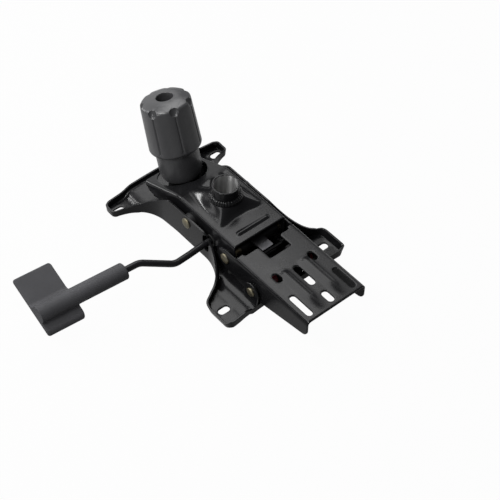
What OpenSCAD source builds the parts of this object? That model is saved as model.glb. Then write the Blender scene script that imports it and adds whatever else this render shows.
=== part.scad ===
// Office chair tilt mechanism, lying on its four seat pads as it stands on a bench.
// Millimetres. +Z points from the seat to the floor when the chair is in use,
// +Y to the front of the chair, -X to the side of the lever.
// The origin is the centre of the four seat slots, on the plane of the pads.

/* [Sheet steel] */
// Thickness of the pressed sheet
sheet = 2.5; // [2:0.1:3]
// Outer radius of the pressed bends
bend_r = 4.5; // [3.5:0.5:6]

/* [Seat plate] */
// Distance between the seat slots across the chair
seat_dx = 150; // [146:1:154]
// Distance between the seat slots along the chair
seat_dy = 200; // [196:1:204]
// Width of a seat slot
seat_slot_w = 8.5; // [7:0.5:9]
// End-to-end length of a seat slot
seat_slot_l = 15; // [12:0.5:18]
// Half width of the plate over its front ears
ear_x = 88; // [87:0.5:92]
// Half width of the plate over its rear ears
rear_ear_x = 92; // [90:0.5:94]
// Distance from the seat slots forward to the front edge, at the ears
front_edge = 14; // [12:0.5:18]
// Forward bow of the front edge
front_bow = 4; // [2:0.5:6]
// Distance from the seat slots back to the rear edge
rear_edge = 26; // [26:0.5:30]
// Half width over the side walls
seat_wall_x = 46; // [46:0.1:47]
// Height of the side walls
seat_wall_z = 50; // [46:1:54]
// Rise of the web over the pads
web_rise = 7; // [5:0.25:7.5]
// Height of the turned-up rim at the ears
rim_h = 11.5; // [8:0.5:13]
// Height of the front flange between the ears
flange_h = 15.5; // [13:0.5:18]
// Width of the slot for the lever
lever_slot_w = 11; // [11:0.5:13]
// Height of the slot for the lever
lever_slot_h = 25; // [24:0.5:27]

/* [Housing] */
// Half width over the housing walls
housing_x = 38; // [37.5:0.1:38.2]
// Height of the flat top
housing_top = 59; // [58:0.5:61]
// Lower edge of the walls
housing_low = 22; // [21.5:0.25:23]
// Rear edge, behind the origin
housing_back = 73.5; // [72:0.25:74.5]
// Place where the front slope starts
slope_y = 30; // [27:0.5:32]
// Angle of the front slope
slope_deg = 22.5; // [20:0.5:24]
// Length of the front slope
slope_len = 69; // [64:0.5:72]
// Height of the pressed boss over the flat top
boss_h = 11; // [8:0.5:13]
// Half width of the boss at its foot
boss_x = 31; // [28:0.5:33]
// Length of the raised bead near the rear edge
bead_l = 48; // [40:1:54]

/* [Gas lift socket] */
// Distance of the socket axis behind the origin
socket_back = 12; // [11:0.25:13]
// Height of the mouth
socket_top = 87.5; // [85:0.5:92]
// Outer radius
socket_or = 16.5; // [16:0.1:17.5]
// Radius of the straight seat at the mouth
socket_ir = 14.4; // [14:0.1:14.8]
// Length of the straight seat
socket_land = 12; // [8:0.5:16]
// Lower end of the sleeve
socket_low = 49; // [48.5:0.25:51]
// Radius of the weld collar
collar_r = 19.6; // [18.5:0.1:20.5]

/* [Pivots] */
// Front pivot, distance before the origin
front_y = 4; // [2:0.5:6]
// Front pivot, height
front_z = 40; // [38.5:0.5:41]
// Rear pivot, distance behind the origin
back_y = 63; // [62.5:0.25:63.5]
// Rear pivot, height
back_z = 35; // [34.5:0.25:35.5]
// Link pivot, distance behind the origin
link_y = 114; // [113:0.25:115]
// Link pivot, height
link_z = 26; // [25.5:0.25:27]
// Radius of the front and rear pivot shafts
shaft_r = 5; // [4:0.25:5.25]
// Radius of the link shaft
link_r = 4; // [3.5:0.25:4.5]
// Thickness of the shaft heads
head_t = 2.5; // [2:0.25:3.5]

/* [Back bracket] */
// Half width over the flanges
bracket_x = 43; // [42.6:0.1:43.2]
// Height of the plate
bracket_top = 52; // [51.5:0.25:53]
// Front edge of the plate, behind the origin
bracket_front = 82.2; // [81.8:0.2:84]
// Rear edge of the plate, behind the origin
bracket_back = 202.5; // [198:0.5:208]
// Width of the slots
slot_w = 8.5; // [7:0.25:9]
// Height of the two raised ribs
rib_h = 2; // [1:0.25:3]

/* [Tension knob] */
// Forward lean of the knob
knob_deg = 16; // [14:0.5:18]
// Distance of the knob axis before the origin, at the slope
knob_y = 70.5; // [68.5:0.25:72]
// Length of the knob over the slope
knob_h = 105; // [98:0.5:112]
// Largest radius of the knob
knob_r = 31.6; // [30.5:0.1:33]
// Radius of the neck
neck_r = 26; // [25:0.25:26.5]
// Height of the shoulder over the slope
shoulder_s = 35; // [31:0.5:38]
// Radius of the hole in the top
knob_hole_r = 10.3; // [9.8:0.1:12]
// Number of grip grooves
grooves = 7; // [5:1:9]
// Turn of the first groove about the knob's axis
groove_turn = 99; // [75:1:125]
// Radius of the opening for the neck in the housing
opening_r = 31; // [30.75:0.25:31.5]
// Radius of the tension bolt
bolt_r = 5; // [4:0.25:5.25]

/* [Lever] */
// Distance of the lever behind the origin
lever_back = 31.5; // [31:0.25:32]
// Height of the lever
lever_z = 35.5; // [35:0.25:36]
// Radius of the rod
rod_r = 4; // [3.5:0.1:4.1]
// Distance out to the first bend
bend_1 = 92; // [86:1:98]
// Distance out to the second bend
bend_2 = 126.5; // [122:0.5:132]
// Sideways offset of the outer length
crank = 21.8; // [18:0.2:25]
// Tilt of the crank and paddle, front edge up
paddle_deg = 27; // [20:1:34]
// Start of the grip
grip_from = 147; // [142:1:152]
// End of the grip
grip_to = 257; // [248:1:265]
// Radius of the grip
grip_r = 10.3; // [9:0.1:11.5]
// Reach of the paddle forward of the grip axis
paddle_front = 53; // [46:1:58]
// Reach of the paddle behind the grip axis
paddle_rear = 20; // [16:0.5:24]
// Length of the paddle along the grip
paddle_l = 50; // [42:1:58]

/* [Fits] */
// Radial clearance of a shaft in its bush
run_gap = 0.05; // [0.03:0.01:0.08]
// Clearance between sliding flat faces
slide_gap = 0.2; // [0.15:0.05:0.3]
// Clearance between moving pieces that do not bear
free_gap = 0.3; // [0.25:0.05:0.4]

/* [Hidden] */
$fn = 64;
cut = 1;

tall = 120;
seat_front = seat_dy / 2 + front_edge;
seat_y = seat_dy / 2 + rear_edge;
web_top = web_rise + sheet;
web_flat_x = seat_wall_x + 4;
web_foot_x = web_flat_x + 9;
ear_corner = 8;
front_waist_r = 45;
front_turn_r = 8;
front_arc = [seat_wall_x + front_waist_r, seat_dy / 2 - 51];
rear_waist_r = 48;
rear_turn_r = 14;
rear_arc = [seat_wall_x + rear_waist_r, 68 - seat_dy / 2];
tab_in_x = bracket_x + 2;
tab_r = 12;

socket_y = -socket_back;
boss_top = housing_top + boss_h;
boss_rear = 29;
boss_front = 43;
collar_h = 3;

A = [front_y, front_z];
B = [-back_y, back_z];
C = [-link_y, link_z];
head_r = shaft_r + 1.7;
bush_r = shaft_r + 2;
bush_flange_r = shaft_r + 4.5;
link_slack = 0.8;
ear_r = 14;

knob_z = housing_top - (knob_y - slope_y) * tan(slope_deg);
neck_low = -1;
nut_s = 62;
nut_h = 8;
nut_r = 9.8;
washer_t = 2.5;
spring_r = 17;
wire_r = 2.4;
spring_turns = 8;
bridge_s = -19.5;
anchor_top = 17;

pivot_x = 27;
carrier_x = [-housing_x + sheet + free_gap, -17];
carrier_w = 21;
carrier_low = 26 + slide_gap;
lock_z = 42.5;
lock_t = 2.5;
lock_w = 16;
carrier_top = lock_z - free_gap;
throw = 8;
cam = [-20, -lever_back - 5.5];
cam_r = 2.5;
cam_w = 2 * (cam_r + free_gap);
rod_bend = 18;
bend_swell = 0.05;
lap = 0.5;
catch_y = 91.5;

// Points of an arc about c
function arc(c, r, a0, a1, n = 12) =
    [for (i = [0 : n]) c + r * [cos(a0 + (a1 - a0) * i / n), sin(a0 + (a1 - a0) * i / n)]];
function flip(pts) = [for (i = [len(pts) - 1 : -1 : 0]) [-pts[i].x, pts[i].y]];

// Outline of the seat plate on the +X side, front to rear, moved in by d.
// Each waist arc runs into its ear through a turn that touches it
function seat_half(d) =
    let (ex = ear_x - ear_corner,
         bow_r = (ex * ex + front_bow * front_bow) / (2 * front_bow),
         front_r = front_waist_r + front_turn_r,
         rear_r = rear_waist_r + rear_turn_r,
         f = acos((front_arc.x - ear_x + front_turn_r) / front_r),
         r = acos((rear_arc.x - rear_ear_x + rear_turn_r) / rear_r))
    concat(
        arc([0, seat_front + front_bow - bow_r], bow_r - d, 90, 90 - asin(ex / bow_r), 8),
        arc([ex, seat_front - ear_corner], ear_corner - d, 85, 0, 6),
        arc(front_arc + front_r * [-cos(f), sin(f)], front_turn_r - d, 0, -f, 5),
        arc(front_arc, front_waist_r + d, 180 - f, 180, 14),
        arc(rear_arc, rear_waist_r + d, 180, 180 + r, 14),
        arc(rear_arc - rear_r * [cos(r), sin(r)], rear_turn_r - d, r, 0, 6),
        arc([rear_ear_x - ear_corner, ear_corner - seat_y], ear_corner - d, 0, -90, 6));

module seat_outline(d = 0) {
    polygon(concat(seat_half(d), flip(seat_half(d))));
}

// A solid whose section across X is given as polygon points of X and Z
module along_y(y0, y1) {
    translate([0, y1, 0]) rotate([90, 0, 0]) linear_extrude(y1 - y0) children();
}

// A solid whose side view is given as polygon points of Y and Z
module along_x(x0, x1) {
    translate([x0, 0, 0]) rotate([90, 0, 90]) linear_extrude(x1 - x0) children();
}

// A round bar along X at the pivot p
module bar_x(p, r, x0, x1) {
    translate([x0, p.x, p.y]) rotate([0, 90, 0]) cylinder(r = r, h = x1 - x0);
}

// A slot with round ends along X, w wide and l long
module slot_x(w, l, h) {
    for (s = [-1, 1]) translate([s * (l - w) / 2, 0, 0]) cylinder(d = w, h = h);
    translate([-(l - w) / 2, -w / 2, 0]) cube([l - w, w, h]);
}

module slot_y(w, l, h) {
    rotate([0, 0, 90]) slot_x(w, l, h);
}

// The space over the underside of the seat sheet, h deep: pads low, web high
module over_sheet(h) {
    along_y(-160, 160) polygon([
        [-120, 0], [-web_foot_x, 0], [-web_flat_x, web_rise], [web_flat_x, web_rise], [web_foot_x, 0], [120, 0],
        [120, h], [web_foot_x, h], [web_flat_x, web_rise + h], [-web_flat_x, web_rise + h], [-web_foot_x, h],
        [-120, h]]);
}

// The space of the rim: from the underside of the sheet up to the rim at the ears and the flange between
module rim_space() {
    along_y(-160, 160) polygon([
        [-120, 0], [-web_foot_x, 0], [-web_flat_x, web_rise], [web_flat_x, web_rise], [web_foot_x, 0], [120, 0],
        [120, rim_h], [web_foot_x, rim_h], [web_flat_x, flange_h], [-web_flat_x, flange_h], [-web_foot_x, rim_h],
        [-120, rim_h]]);
}

// Side view of the turned-up side walls
module wall_profile() {
    polygon([[104, 0], [104, 9], [96, 11], [84, 17], [66, 30], [46, seat_wall_z - 4], [38, seat_wall_z],
             [-25, seat_wall_z], [-38, seat_wall_z - 6], [-47, 32], [-58, 17], [-68, 10], [-76, 8], [-76, 0]]);
}

module seat_rim() {
    linear_extrude(tall) difference() {
        seat_outline();
        seat_outline(sheet);
    }
}

module link_tab(side) {
    x0 = side > 0 ? tab_in_x : -tab_in_x - sheet;
    bar_x(C, tab_r, x0, x0 + sheet);
    translate([x0, C.x - tab_r, web_rise]) cube([sheet, 2 * tab_r, C.y - web_rise]);
}

module seat_plate() {
    color([0.11, 0.11, 0.12]) difference() {
        union() {
            intersection() {
                linear_extrude(tall) seat_outline();
                over_sheet(sheet);
            }
            intersection() {
                seat_rim();
                rim_space();
            }
            intersection() {
                seat_rim();
                over_sheet(90);
                along_x(-120, 120) wall_profile();
            }
            for (side = [-1, 1]) link_tab(side);
        }
        for (x = [-1, 1], y = [-1, 1])
            translate([x * seat_dx / 2, y * seat_dy / 2, -cut])
                slot_x(seat_slot_w, seat_slot_l, sheet + 2 * cut);
        bar_x(A, shaft_r + run_gap, -seat_wall_x - cut, seat_wall_x + cut);
        translate([-seat_wall_x - cut, -lever_back, lever_z]) rotate([0, 90, 0])
            slot_x(lever_slot_w, lever_slot_h, sheet + 2 * cut);
        for (s = [-1, 1]) translate([0, s * link_slack, 0])
            bar_x(C, link_r + free_gap / 2, -tab_in_x - sheet - cut, tab_in_x + sheet + cut);
        translate([-web_flat_x, -seat_y - cut, web_top]) cube([2 * web_flat_x, sheet + 2 * cut, 20]);
        for (s = [-1, 1]) translate([s * (tab_in_x - 9) - 8, C.x - tab_r + 4, 0])
            cube([16, 2 * tab_r - 4, web_top + cut]);
    }
}

// Section of a channel: flat top at z, walls at +-x, round top edges, moved in by d
module channel(x, z, low, d) {
    polygon(concat([[x - d, low]], arc([x - bend_r, z - bend_r], bend_r - d, 0, 90, 6),
                   arc([bend_r - x, z - bend_r], bend_r - d, 90, 180, 6), [[d - x, low]]));
}

// Side view of the housing, moved in by d from its top, longer by ends and lower by drop
module housing_profile(d, ends, drop) {
    down = [sin(slope_deg), cos(slope_deg)];
    nose = [slope_y, housing_top] + (slope_len + ends) * [down.y, -down.x] - d * down;
    low = housing_low - drop;
    foot = nose - (nose.y - low) / down.y * down;
    polygon([[-housing_back - ends, low], [-housing_back - ends, housing_top - d],
             [slope_y - d * tan(slope_deg / 2), housing_top - d], nose, foot]);
}

// The wedge that rounds off a top edge of the housing along Y
module edge_wedge(from, to) {
    c = (2 - sqrt(2)) * bend_r;
    along_y(from, to) polygon([[housing_x - c, cut], [housing_x - c, 0], [housing_x, -c], [housing_x + cut, -c],
                               [housing_x + cut, cut]]);
}

module housing_solid() {
    x = housing_x - sheet;
    difference() {
        along_x(-housing_x, housing_x) housing_profile(0, 0, 0);
        along_x(-x, x) housing_profile(sheet, cut, cut);
        for (s = [0, 1]) mirror([s, 0, 0]) translate([0, slope_y, housing_top]) {
            edge_wedge(-housing_back - slope_y - cut, cut);
            rotate([-slope_deg, 0, 0]) edge_wedge(-cut, slope_len + cut);
        }
    }
}

// Section of the boss: a wide foot below the flat top, drawn in to the collar, moved in by d
module boss_section(from, to, d) {
    foot = housing_top - 1 - d;
    r = collar_r + 1 - d;
    polygon([[from + d, foot], [to - d, foot], [min(to - d, r), boss_top - d], [max(from + d, -r), boss_top - d]]);
}

module boss_solid(d) {
    translate([0, socket_y, 0]) intersection() {
        along_y(-100, 100) boss_section(-boss_x, boss_x, d);
        along_x(-100, 100) boss_section(-boss_rear, boss_front, d);
    }
}

// The frame of the knob: +Z along its axis, from the slope
module at_knob() {
    translate([0, knob_y, knob_z]) rotate([-knob_deg, 0, 0]) children();
}

module housing_shell() {
    color([0.12, 0.12, 0.13]) difference() {
        union() {
            housing_solid();
            boss_solid(0);
            translate([0, 13 - housing_back, housing_top - 0.5]) slot_x(7, bead_l, 2);
        }
        boss_solid(sheet);
        translate([0, socket_y, 0]) cylinder(r = socket_or + run_gap, h = tall);
        at_knob() translate([0, 0, -40]) cylinder(r = opening_r, h = 80);
        bar_x(A, bush_r + run_gap, -housing_x - cut, housing_x + cut);
        bar_x(B, bush_r + run_gap, -housing_x - cut, housing_x + cut);
        bar_x([-lever_back, lever_z], rod_r + 3.5 + run_gap, -housing_x - cut, 0);
    }
}

module gas_socket() {
    color([0.14, 0.14, 0.15]) translate([0, socket_y, 0]) rotate_extrude() polygon([
        [socket_ir - 0.9, socket_low], [socket_or, socket_low], [socket_or, socket_top - 0.6],
        [socket_or - 0.6, socket_top], [socket_ir + 0.4, socket_top], [socket_ir, socket_top - 0.4],
        [socket_ir, socket_top - 0.4 - socket_land]]);
}

module weld_collar() {
    color([0.14, 0.14, 0.15]) translate([0, socket_y, boss_top]) rotate_extrude() polygon([
        [socket_or + run_gap, 0], [collar_r, 0], [collar_r, collar_h * 0.4],
        [collar_r - collar_h * 0.6, collar_h], [socket_or + run_gap, collar_h]]);
}

// Side view of the bracket: ears round the rear pivot, deep at the link, rising to the back
module bracket_profile() {
    polygon(concat(
        arc(B, ear_r, 95, -85, 14),
        [[-86, 17.5], [C.x, 13.5], [-133, 15.5]],
        arc([9 - bracket_back, 36.5], 9, 255, 180, 6),
        [[-bracket_back, bracket_top + rib_h + cut], [-bracket_front, bracket_top + rib_h + cut],
         [-bracket_front, bracket_top - 2], [4 - bracket_front, bracket_top - 3]]));
}

module bracket_slots() {
    for (s = [-1, 1]) {
        translate([s * 31.5, -179.5, 0]) slot_y(slot_w - 0.5, 34, 100);
        translate([s * 26, -133.5, 0]) slot_y(slot_w, 13.5, 100);
    }
    translate([0, -149, 0]) slot_y(slot_w, 33, 100);
    translate([0, -188, 0]) slot_y(slot_w, 17, 100);
}

module back_bracket() {
    color([0.12, 0.12, 0.13]) difference() {
        intersection() {
            union() {
                difference() {
                    along_y(-bracket_back, -40) channel(bracket_x, bracket_top, 0, 0);
                    along_y(-bracket_back - cut, -40 + cut) channel(bracket_x, bracket_top, -cut, sheet);
                }
                for (s = [-1, 1]) translate([s * 16, -165, bracket_top - 1]) slot_y(9.5, 58, rib_h + 1);
            }
            along_x(-60, 60) bracket_profile();
        }
        translate([sheet - bracket_x, -bracket_front, 0]) cube([2 * (bracket_x - sheet), 60, 100]);
        translate([-15.5, -106.5, 40]) cube([31, 30, 30]);
        for (s = [-1, 1]) translate([s * 16, -165, bracket_top - sheet - 1]) slot_y(5, 52, rib_h + 1);
        translate([0, 0, 40]) bracket_slots();
        bar_x(B, shaft_r + run_gap, -60, 60);
        bar_x(C, link_r + run_gap, -60, 60);
    }
}

// Cross plate under the notch of the bracket, with the slot that the lock plate enters
module lock_catch() {
    x = bracket_x - sheet;
    top = bracket_top - sheet;
    low = lock_z - 5.3;
    c = bend_r - sheet;
    color([0.13, 0.13, 0.14]) difference() {
        along_y(-catch_y - sheet, -catch_y) polygon([
            [-x, low], [x, low], [x, top - c], [x - c, top], [c - x, top], [-x, top - c]]);
        translate([-15.5, -catch_y - sheet - cut, 47]) cube([31, sheet + 2 * cut, 10]);
        translate([-lock_w / 2 - free_gap, -catch_y - sheet - cut, lock_z - free_gap])
            cube([lock_w + 2 * free_gap, sheet + 2 * cut, lock_t + 2 * free_gap]);
    }
}

// A shaft along X with a head outside -x and an end past +x
module headed_shaft(p, r, x, end) {
    bar_x(p, r, -x - head_t, x + end);
    bar_x(p, r + head_r - shaft_r, -x - head_t, -x);
}

// A spring ring on the free end of a shaft
module shaft_ring(p, r, x) {
    difference() {
        bar_x(p, r + 3, x, x + 1.5);
        bar_x(p, r + run_gap, x - cut, x + 1.5 + cut);
    }
}

// Flanged bushes in both housing walls, with flanges out to x
module bush_pair(p, x) {
    for (s = [0, 1]) mirror([s, 0, 0]) difference() {
        union() {
            bar_x(p, bush_r, housing_x - sheet, housing_x);
            bar_x(p, bush_flange_r, housing_x, x);
        }
        bar_x(p, shaft_r + run_gap, 0, 100);
    }
}

module front_pivot_shaft() {
    color([0.55, 0.5, 0.3]) headed_shaft(A, shaft_r, seat_wall_x, 3.5);
}

module front_pivot_bushes() {
    color([0.8, 0.8, 0.76]) bush_pair(A, seat_wall_x - sheet - slide_gap);
}

module front_pivot_ring() {
    color([0.3, 0.3, 0.32]) shaft_ring(A, shaft_r, seat_wall_x);
}

module back_pivot_shaft() {
    color([0.62, 0.52, 0.25]) headed_shaft(B, shaft_r, bracket_x, 3);
}

module back_pivot_bushes() {
    color([0.8, 0.8, 0.76]) bush_pair(B, bracket_x - sheet - slide_gap);
}

module back_pivot_ring() {
    color([0.3, 0.3, 0.32]) shaft_ring(B, shaft_r, bracket_x);
}

module link_shaft() {
    color([0.55, 0.5, 0.3]) headed_shaft(C, link_r, tab_in_x + sheet + slide_gap, 3);
}

module link_sleeve() {
    color([0.35, 0.06, 0.08]) difference() {
        bar_x(C, link_r + 2, sheet - bracket_x, bracket_x - sheet);
        bar_x(C, link_r + run_gap, -60, 60);
    }
}

module link_washers() {
    color([0.6, 0.6, 0.6]) for (s = [0, 1]) mirror([s, 0, 0]) difference() {
        bar_x(C, link_r + 4, bracket_x, tab_in_x - slide_gap);
        bar_x(C, link_r + run_gap, 0, 100);
    }
}

module link_ring() {
    color([0.3, 0.3, 0.32]) shaft_ring(C, link_r, tab_in_x + sheet + slide_gap);
}

module tension_knob() {
    top = knob_h;
    color([0.2, 0.2, 0.21]) at_knob() difference() {
        rotate_extrude() polygon(concat(
            [[neck_r - 4.5, neck_low], [neck_r, neck_low], [neck_r, shoulder_s]],
            arc([knob_r - 6, shoulder_s + 7], 6, -45, 0, 4),
            arc([knob_r - 9, top - 8], 8, 0, 80, 6),
            [[knob_hole_r, top], [knob_hole_r, nut_s + nut_h], [4, nut_s + nut_h], [4, nut_s],
             [neck_r - 4.5, nut_s]]));
        translate([0, 0, nut_s - cut]) cylinder(r = nut_r + 0.1, h = nut_h + 2 * cut, $fn = 6);
        for (i = [0 : grooves - 1]) rotate([0, 0, groove_turn + i * 360 / grooves])
            translate([knob_r + 0.2, 0, shoulder_s + 9.5]) cylinder(r = 1.6, h = knob_h);
    }
}

module knob_nut() {
    color([0.6, 0.6, 0.62]) at_knob() translate([0, 0, nut_s]) difference() {
        cylinder(r = nut_r, h = nut_h, $fn = 6);
        translate([0, 0, -cut]) cylinder(r = bolt_r + run_gap, h = nut_h + 2 * cut);
    }
}

module thrust_washer() {
    color([0.55, 0.55, 0.57]) at_knob() translate([0, 0, nut_s - slide_gap - washer_t]) difference() {
        cylinder(r = spring_r + wire_r, h = washer_t);
        translate([0, 0, -cut]) cylinder(r = bolt_r + run_gap, h = washer_t + 2 * cut);
    }
}

module tension_bolt() {
    low = (anchor_top - 4 - knob_z) / cos(knob_deg);
    color([0.6, 0.6, 0.62]) at_knob() translate([0, 0, low]) cylinder(r = bolt_r, h = nut_s + nut_h + 12 - low);
}

module bolt_anchor() {
    y = knob_y - (knob_z - anchor_top) * tan(knob_deg);
    color([0.13, 0.13, 0.14]) difference() {
        translate([-14, y - 12, web_top]) cube([28, 24, anchor_top - web_top]);
        at_knob() translate([0, 0, (anchor_top - 4 - knob_z) / cos(knob_deg)])
            cylinder(r = bolt_r + run_gap, h = 100);
    }
}

// A coil spring on Z from 0 to h: one unbroken tube of triangles
module coil(r, wire, turns, h, rings = 12, sides = 6) {
    n = turns * rings;
    rise = h - 2 * wire;
    pts = [for (i = [0 : n], j = [0 : sides - 1])
        let (a = i * 360 / rings, b = j * 360 / sides, q = r + wire * cos(b))
        [q * cos(a), q * sin(a), wire + rise * i / n + wire * sin(b)]];
    side = [for (i = [0 : n - 1], j = [0 : sides - 1])
        let (p = i * sides + j, s = i * sides + (j + 1) % sides)
        each [[p, s, p + sides], [s, s + sides, p + sides]]];
    caps = [for (j = [1 : sides - 2]) each [[0, j + 1, j], [n * sides, n * sides + j, n * sides + j + 1]]];
    polyhedron(pts, concat(side, caps));
}

module tension_spring() {
    h = nut_s - slide_gap - washer_t - bridge_s;
    color([0.4, 0.4, 0.42]) at_knob() translate([0, 0, bridge_s + 0.1])
        coil(spring_r, wire_r, spring_turns, h - 0.2);
}

// Cross plate under the neck, with turned-up ends on the housing walls
module spring_bridge() {
    x = housing_x - sheet - 0.1;
    color([0.13, 0.13, 0.14]) at_knob() difference() {
        union() {
            translate([-x, -18, bridge_s - sheet]) cube([2 * x, 36, sheet]);
            for (s = [0, 1]) mirror([s, 0, 0]) translate([x - sheet, -10, bridge_s - cut]) cube([sheet, 20, 12]);
        }
        translate([0, 0, bridge_s - sheet - cut]) cylinder(r = bolt_r + 4, h = sheet + 2 * cut);
    }
}

// The frame of the lever: +X out along the rod, +Y along the crank, from the rod axis
module at_lever() {
    translate([0, -lever_back, lever_z]) rotate([paddle_deg, 0, 0]) mirror([1, 0, 0]) children();
}

module rod_length(p, turn, l) {
    translate([p.x, p.y, 0]) rotate([0, 0, turn]) rotate([0, 90, 0]) cylinder(r = rod_r, h = l);
}

module lever_rod() {
    turn = atan2(crank, bend_2 - bend_1);
    tangent = rod_bend * tan(turn / 2);
    slant = norm([crank, bend_2 - bend_1]) - 2 * tangent;
    along = [cos(turn), sin(turn)];
    color([0.1, 0.1, 0.11]) difference() {
        at_lever() {
            rod_length([-4, 0], 0, bend_1 - tangent + 4 + lap);
            translate([bend_1 - tangent, rod_bend, 0]) rotate([0, 0, -90])
                rotate_extrude(angle = turn) translate([rod_bend, 0]) circle(r = rod_r + bend_swell);
            rod_length([bend_1, 0] + (tangent - lap) * along, turn, slant + 2 * lap);
            translate([bend_2 + tangent, crank - rod_bend, 0]) rotate([0, 0, 90])
                rotate_extrude(angle = turn) translate([rod_bend, 0]) circle(r = rod_r + bend_swell);
            rod_length([bend_2 + tangent - lap, crank], 0, grip_to - 6 - bend_2 - tangent + lap);
        }
        translate([-pivot_x, 0, lever_z]) rotate([90, 0, 0]) cylinder(r = 1.5 + run_gap, h = 100);
    }
}

module lever_grip() {
    color([0.19, 0.19, 0.2]) at_lever() translate([0, crank, 0]) difference() {
        union() {
            translate([grip_from, 0, 0]) rotate([0, 90, 0]) cylinder(r = grip_r, h = grip_to - grip_from);
            translate([grip_to + 5 - paddle_l, -paddle_rear, -2])
                cube([paddle_l, paddle_front + paddle_rear, 4]);
        }
        translate([grip_from - cut, 0, 0]) rotate([0, 90, 0])
            cylinder(r = rod_r + run_gap, h = grip_to - 5 - grip_from);
    }
}

// Flat bar under the rod with a post that presses the gas lift's button
module release_arm() {
    low = lever_z - rod_r - 3;
    color([0.5, 0.5, 0.52]) {
        translate([-6, -lever_back - 6, low]) cube([10, lever_back - socket_back + 12, 3]);
        translate([0, socket_y, low + 3]) cylinder(r = 4, h = socket_low - low - 5);
    }
}

module lever_carrier() {
    l = carrier_x[1] - carrier_x[0];
    slot_z = rod_r + 1.2;
    color([0.75, 0.75, 0.72]) difference() {
        union() {
            translate([carrier_x[0], -lever_back - carrier_w / 2, carrier_low])
                cube([l, carrier_w, carrier_top - carrier_low]);
            translate([cam.x, cam.y, carrier_top - cut]) cylinder(r = cam_r, h = lock_t + 1.5 + cut);
        }
        translate([carrier_x[0] - cut, -lever_back - rod_r - free_gap, lever_z - slot_z])
            cube([l + 2 * cut, 2 * (rod_r + free_gap), 2 * slot_z]);
        translate([-pivot_x, 0, lever_z]) rotate([90, 0, 0]) cylinder(r = 1.5 + run_gap, h = 100);
    }
}

module lever_pin() {
    color([0.6, 0.6, 0.62]) translate([-pivot_x, carrier_w / 2 - lever_back, lever_z]) rotate([90, 0, 0])
        cylinder(r = 1.5, h = carrier_w);
}

module lever_shelf() {
    color([0.13, 0.13, 0.14])
        translate([sheet - housing_x, -lever_back - carrier_w / 2 - 2, carrier_low - slide_gap - 2])
            cube([housing_x - sheet - 8, carrier_w + 4, 2]);
}

module lever_grommet() {
    p = [-lever_back, lever_z];
    color([0.08, 0.08, 0.08]) difference() {
        bar_x(p, rod_r + 3.5, -housing_x - 1, sheet - housing_x);
        bar_x(p, rod_r + 1.5, -housing_x - 2, 0);
    }
}

module lock_plate() {
    color([0.42, 0.42, 0.44]) translate([0, 0, lock_z]) difference() {
        union() {
            translate([-lock_w / 2, -88, 0]) cube([lock_w, 88 - lever_back + 8, lock_t]);
            translate([-27, cam.y - 7, 0]) cube([27, 21, lock_t]);
        }
        translate([cam.x + throw / 2, cam.y + throw / 2, -cut]) rotate([0, 0, 45])
            slot_x(cam_w, throw * sqrt(2) + cam_w, lock_t + 2 * cut);
    }
}

// Strap under the housing top that guides the lock plate
module lock_guide() {
    x = lock_w / 2 + slide_gap;
    low = lock_z - slide_gap - 1.7;
    color([0.13, 0.13, 0.14]) for (s = [0, 1]) mirror([s, 0, 0]) translate([0, -64, 0]) {
        translate([x, 0, low]) cube([sheet, 11, housing_top - sheet - low]);
        translate([x - 3, 0, low]) cube([3 + cut, 11, 1.7]);
    }
}

module tilt_bumpers() {
    color([0.07, 0.07, 0.07]) for (s = [-1, 1])
        translate([s * (housing_x - sheet / 2), -66, web_top]) cylinder(r = 3.5, h = 1.8);
}

module rest_buffers() {
    color([0.07, 0.07, 0.07]) for (s = [-1, 1])
        translate([s * (housing_x - sheet / 2), slope_y, web_top])
            cylinder(r = 3.5, h = housing_low - free_gap - web_top);
}

seat_plate();
housing_shell();
gas_socket();
weld_collar();
back_bracket();
lock_catch();
front_pivot_shaft();
front_pivot_bushes();
front_pivot_ring();
back_pivot_shaft();
back_pivot_bushes();
back_pivot_ring();
link_shaft();
link_sleeve();
link_washers();
link_ring();
tension_knob();
knob_nut();
thrust_washer();
tension_bolt();
bolt_anchor();
tension_spring();
spring_bridge();
lever_rod();
lever_grip();
release_arm();
lever_carrier();
lever_pin();
lever_shelf();
lever_grommet();
lock_plate();
lock_guide();
tilt_bumpers();
rest_buffers();
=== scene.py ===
"""Looks of the office chair tilt mechanism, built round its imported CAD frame.

Sizes are in millimetres, in the frame of the CAD part: +Z up, +Y to the chair's front,
-X to the lever side, origin at the centre of the seat slots. Meshes, materials, lamps and
the camera are in metres.
"""
from math import acos, asin, atan2, copysign, cos, degrees, dist, exp, hypot, pi, radians, sin, sqrt, tan

import bmesh
import bpy
from mathutils import Matrix, Vector
from mathutils.geometry import delaunay_2d_cdt


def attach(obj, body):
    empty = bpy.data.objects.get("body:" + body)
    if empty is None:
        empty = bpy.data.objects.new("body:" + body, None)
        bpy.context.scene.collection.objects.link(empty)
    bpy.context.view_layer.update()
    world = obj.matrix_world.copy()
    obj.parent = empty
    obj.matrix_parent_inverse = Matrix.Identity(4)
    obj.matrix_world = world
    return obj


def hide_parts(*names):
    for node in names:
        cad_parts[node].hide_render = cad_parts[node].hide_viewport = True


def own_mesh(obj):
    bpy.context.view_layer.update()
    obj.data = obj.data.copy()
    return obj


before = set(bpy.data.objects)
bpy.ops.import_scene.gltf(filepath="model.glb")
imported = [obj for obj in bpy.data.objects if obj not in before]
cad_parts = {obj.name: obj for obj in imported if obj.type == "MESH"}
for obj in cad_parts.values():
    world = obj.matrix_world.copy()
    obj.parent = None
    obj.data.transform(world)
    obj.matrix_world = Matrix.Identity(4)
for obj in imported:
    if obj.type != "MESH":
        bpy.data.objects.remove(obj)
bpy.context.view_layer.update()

MM = 0.001

# Materials; the scale of a noise is in features a metre

EDGE_SOFTENING = 0.0004


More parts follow.
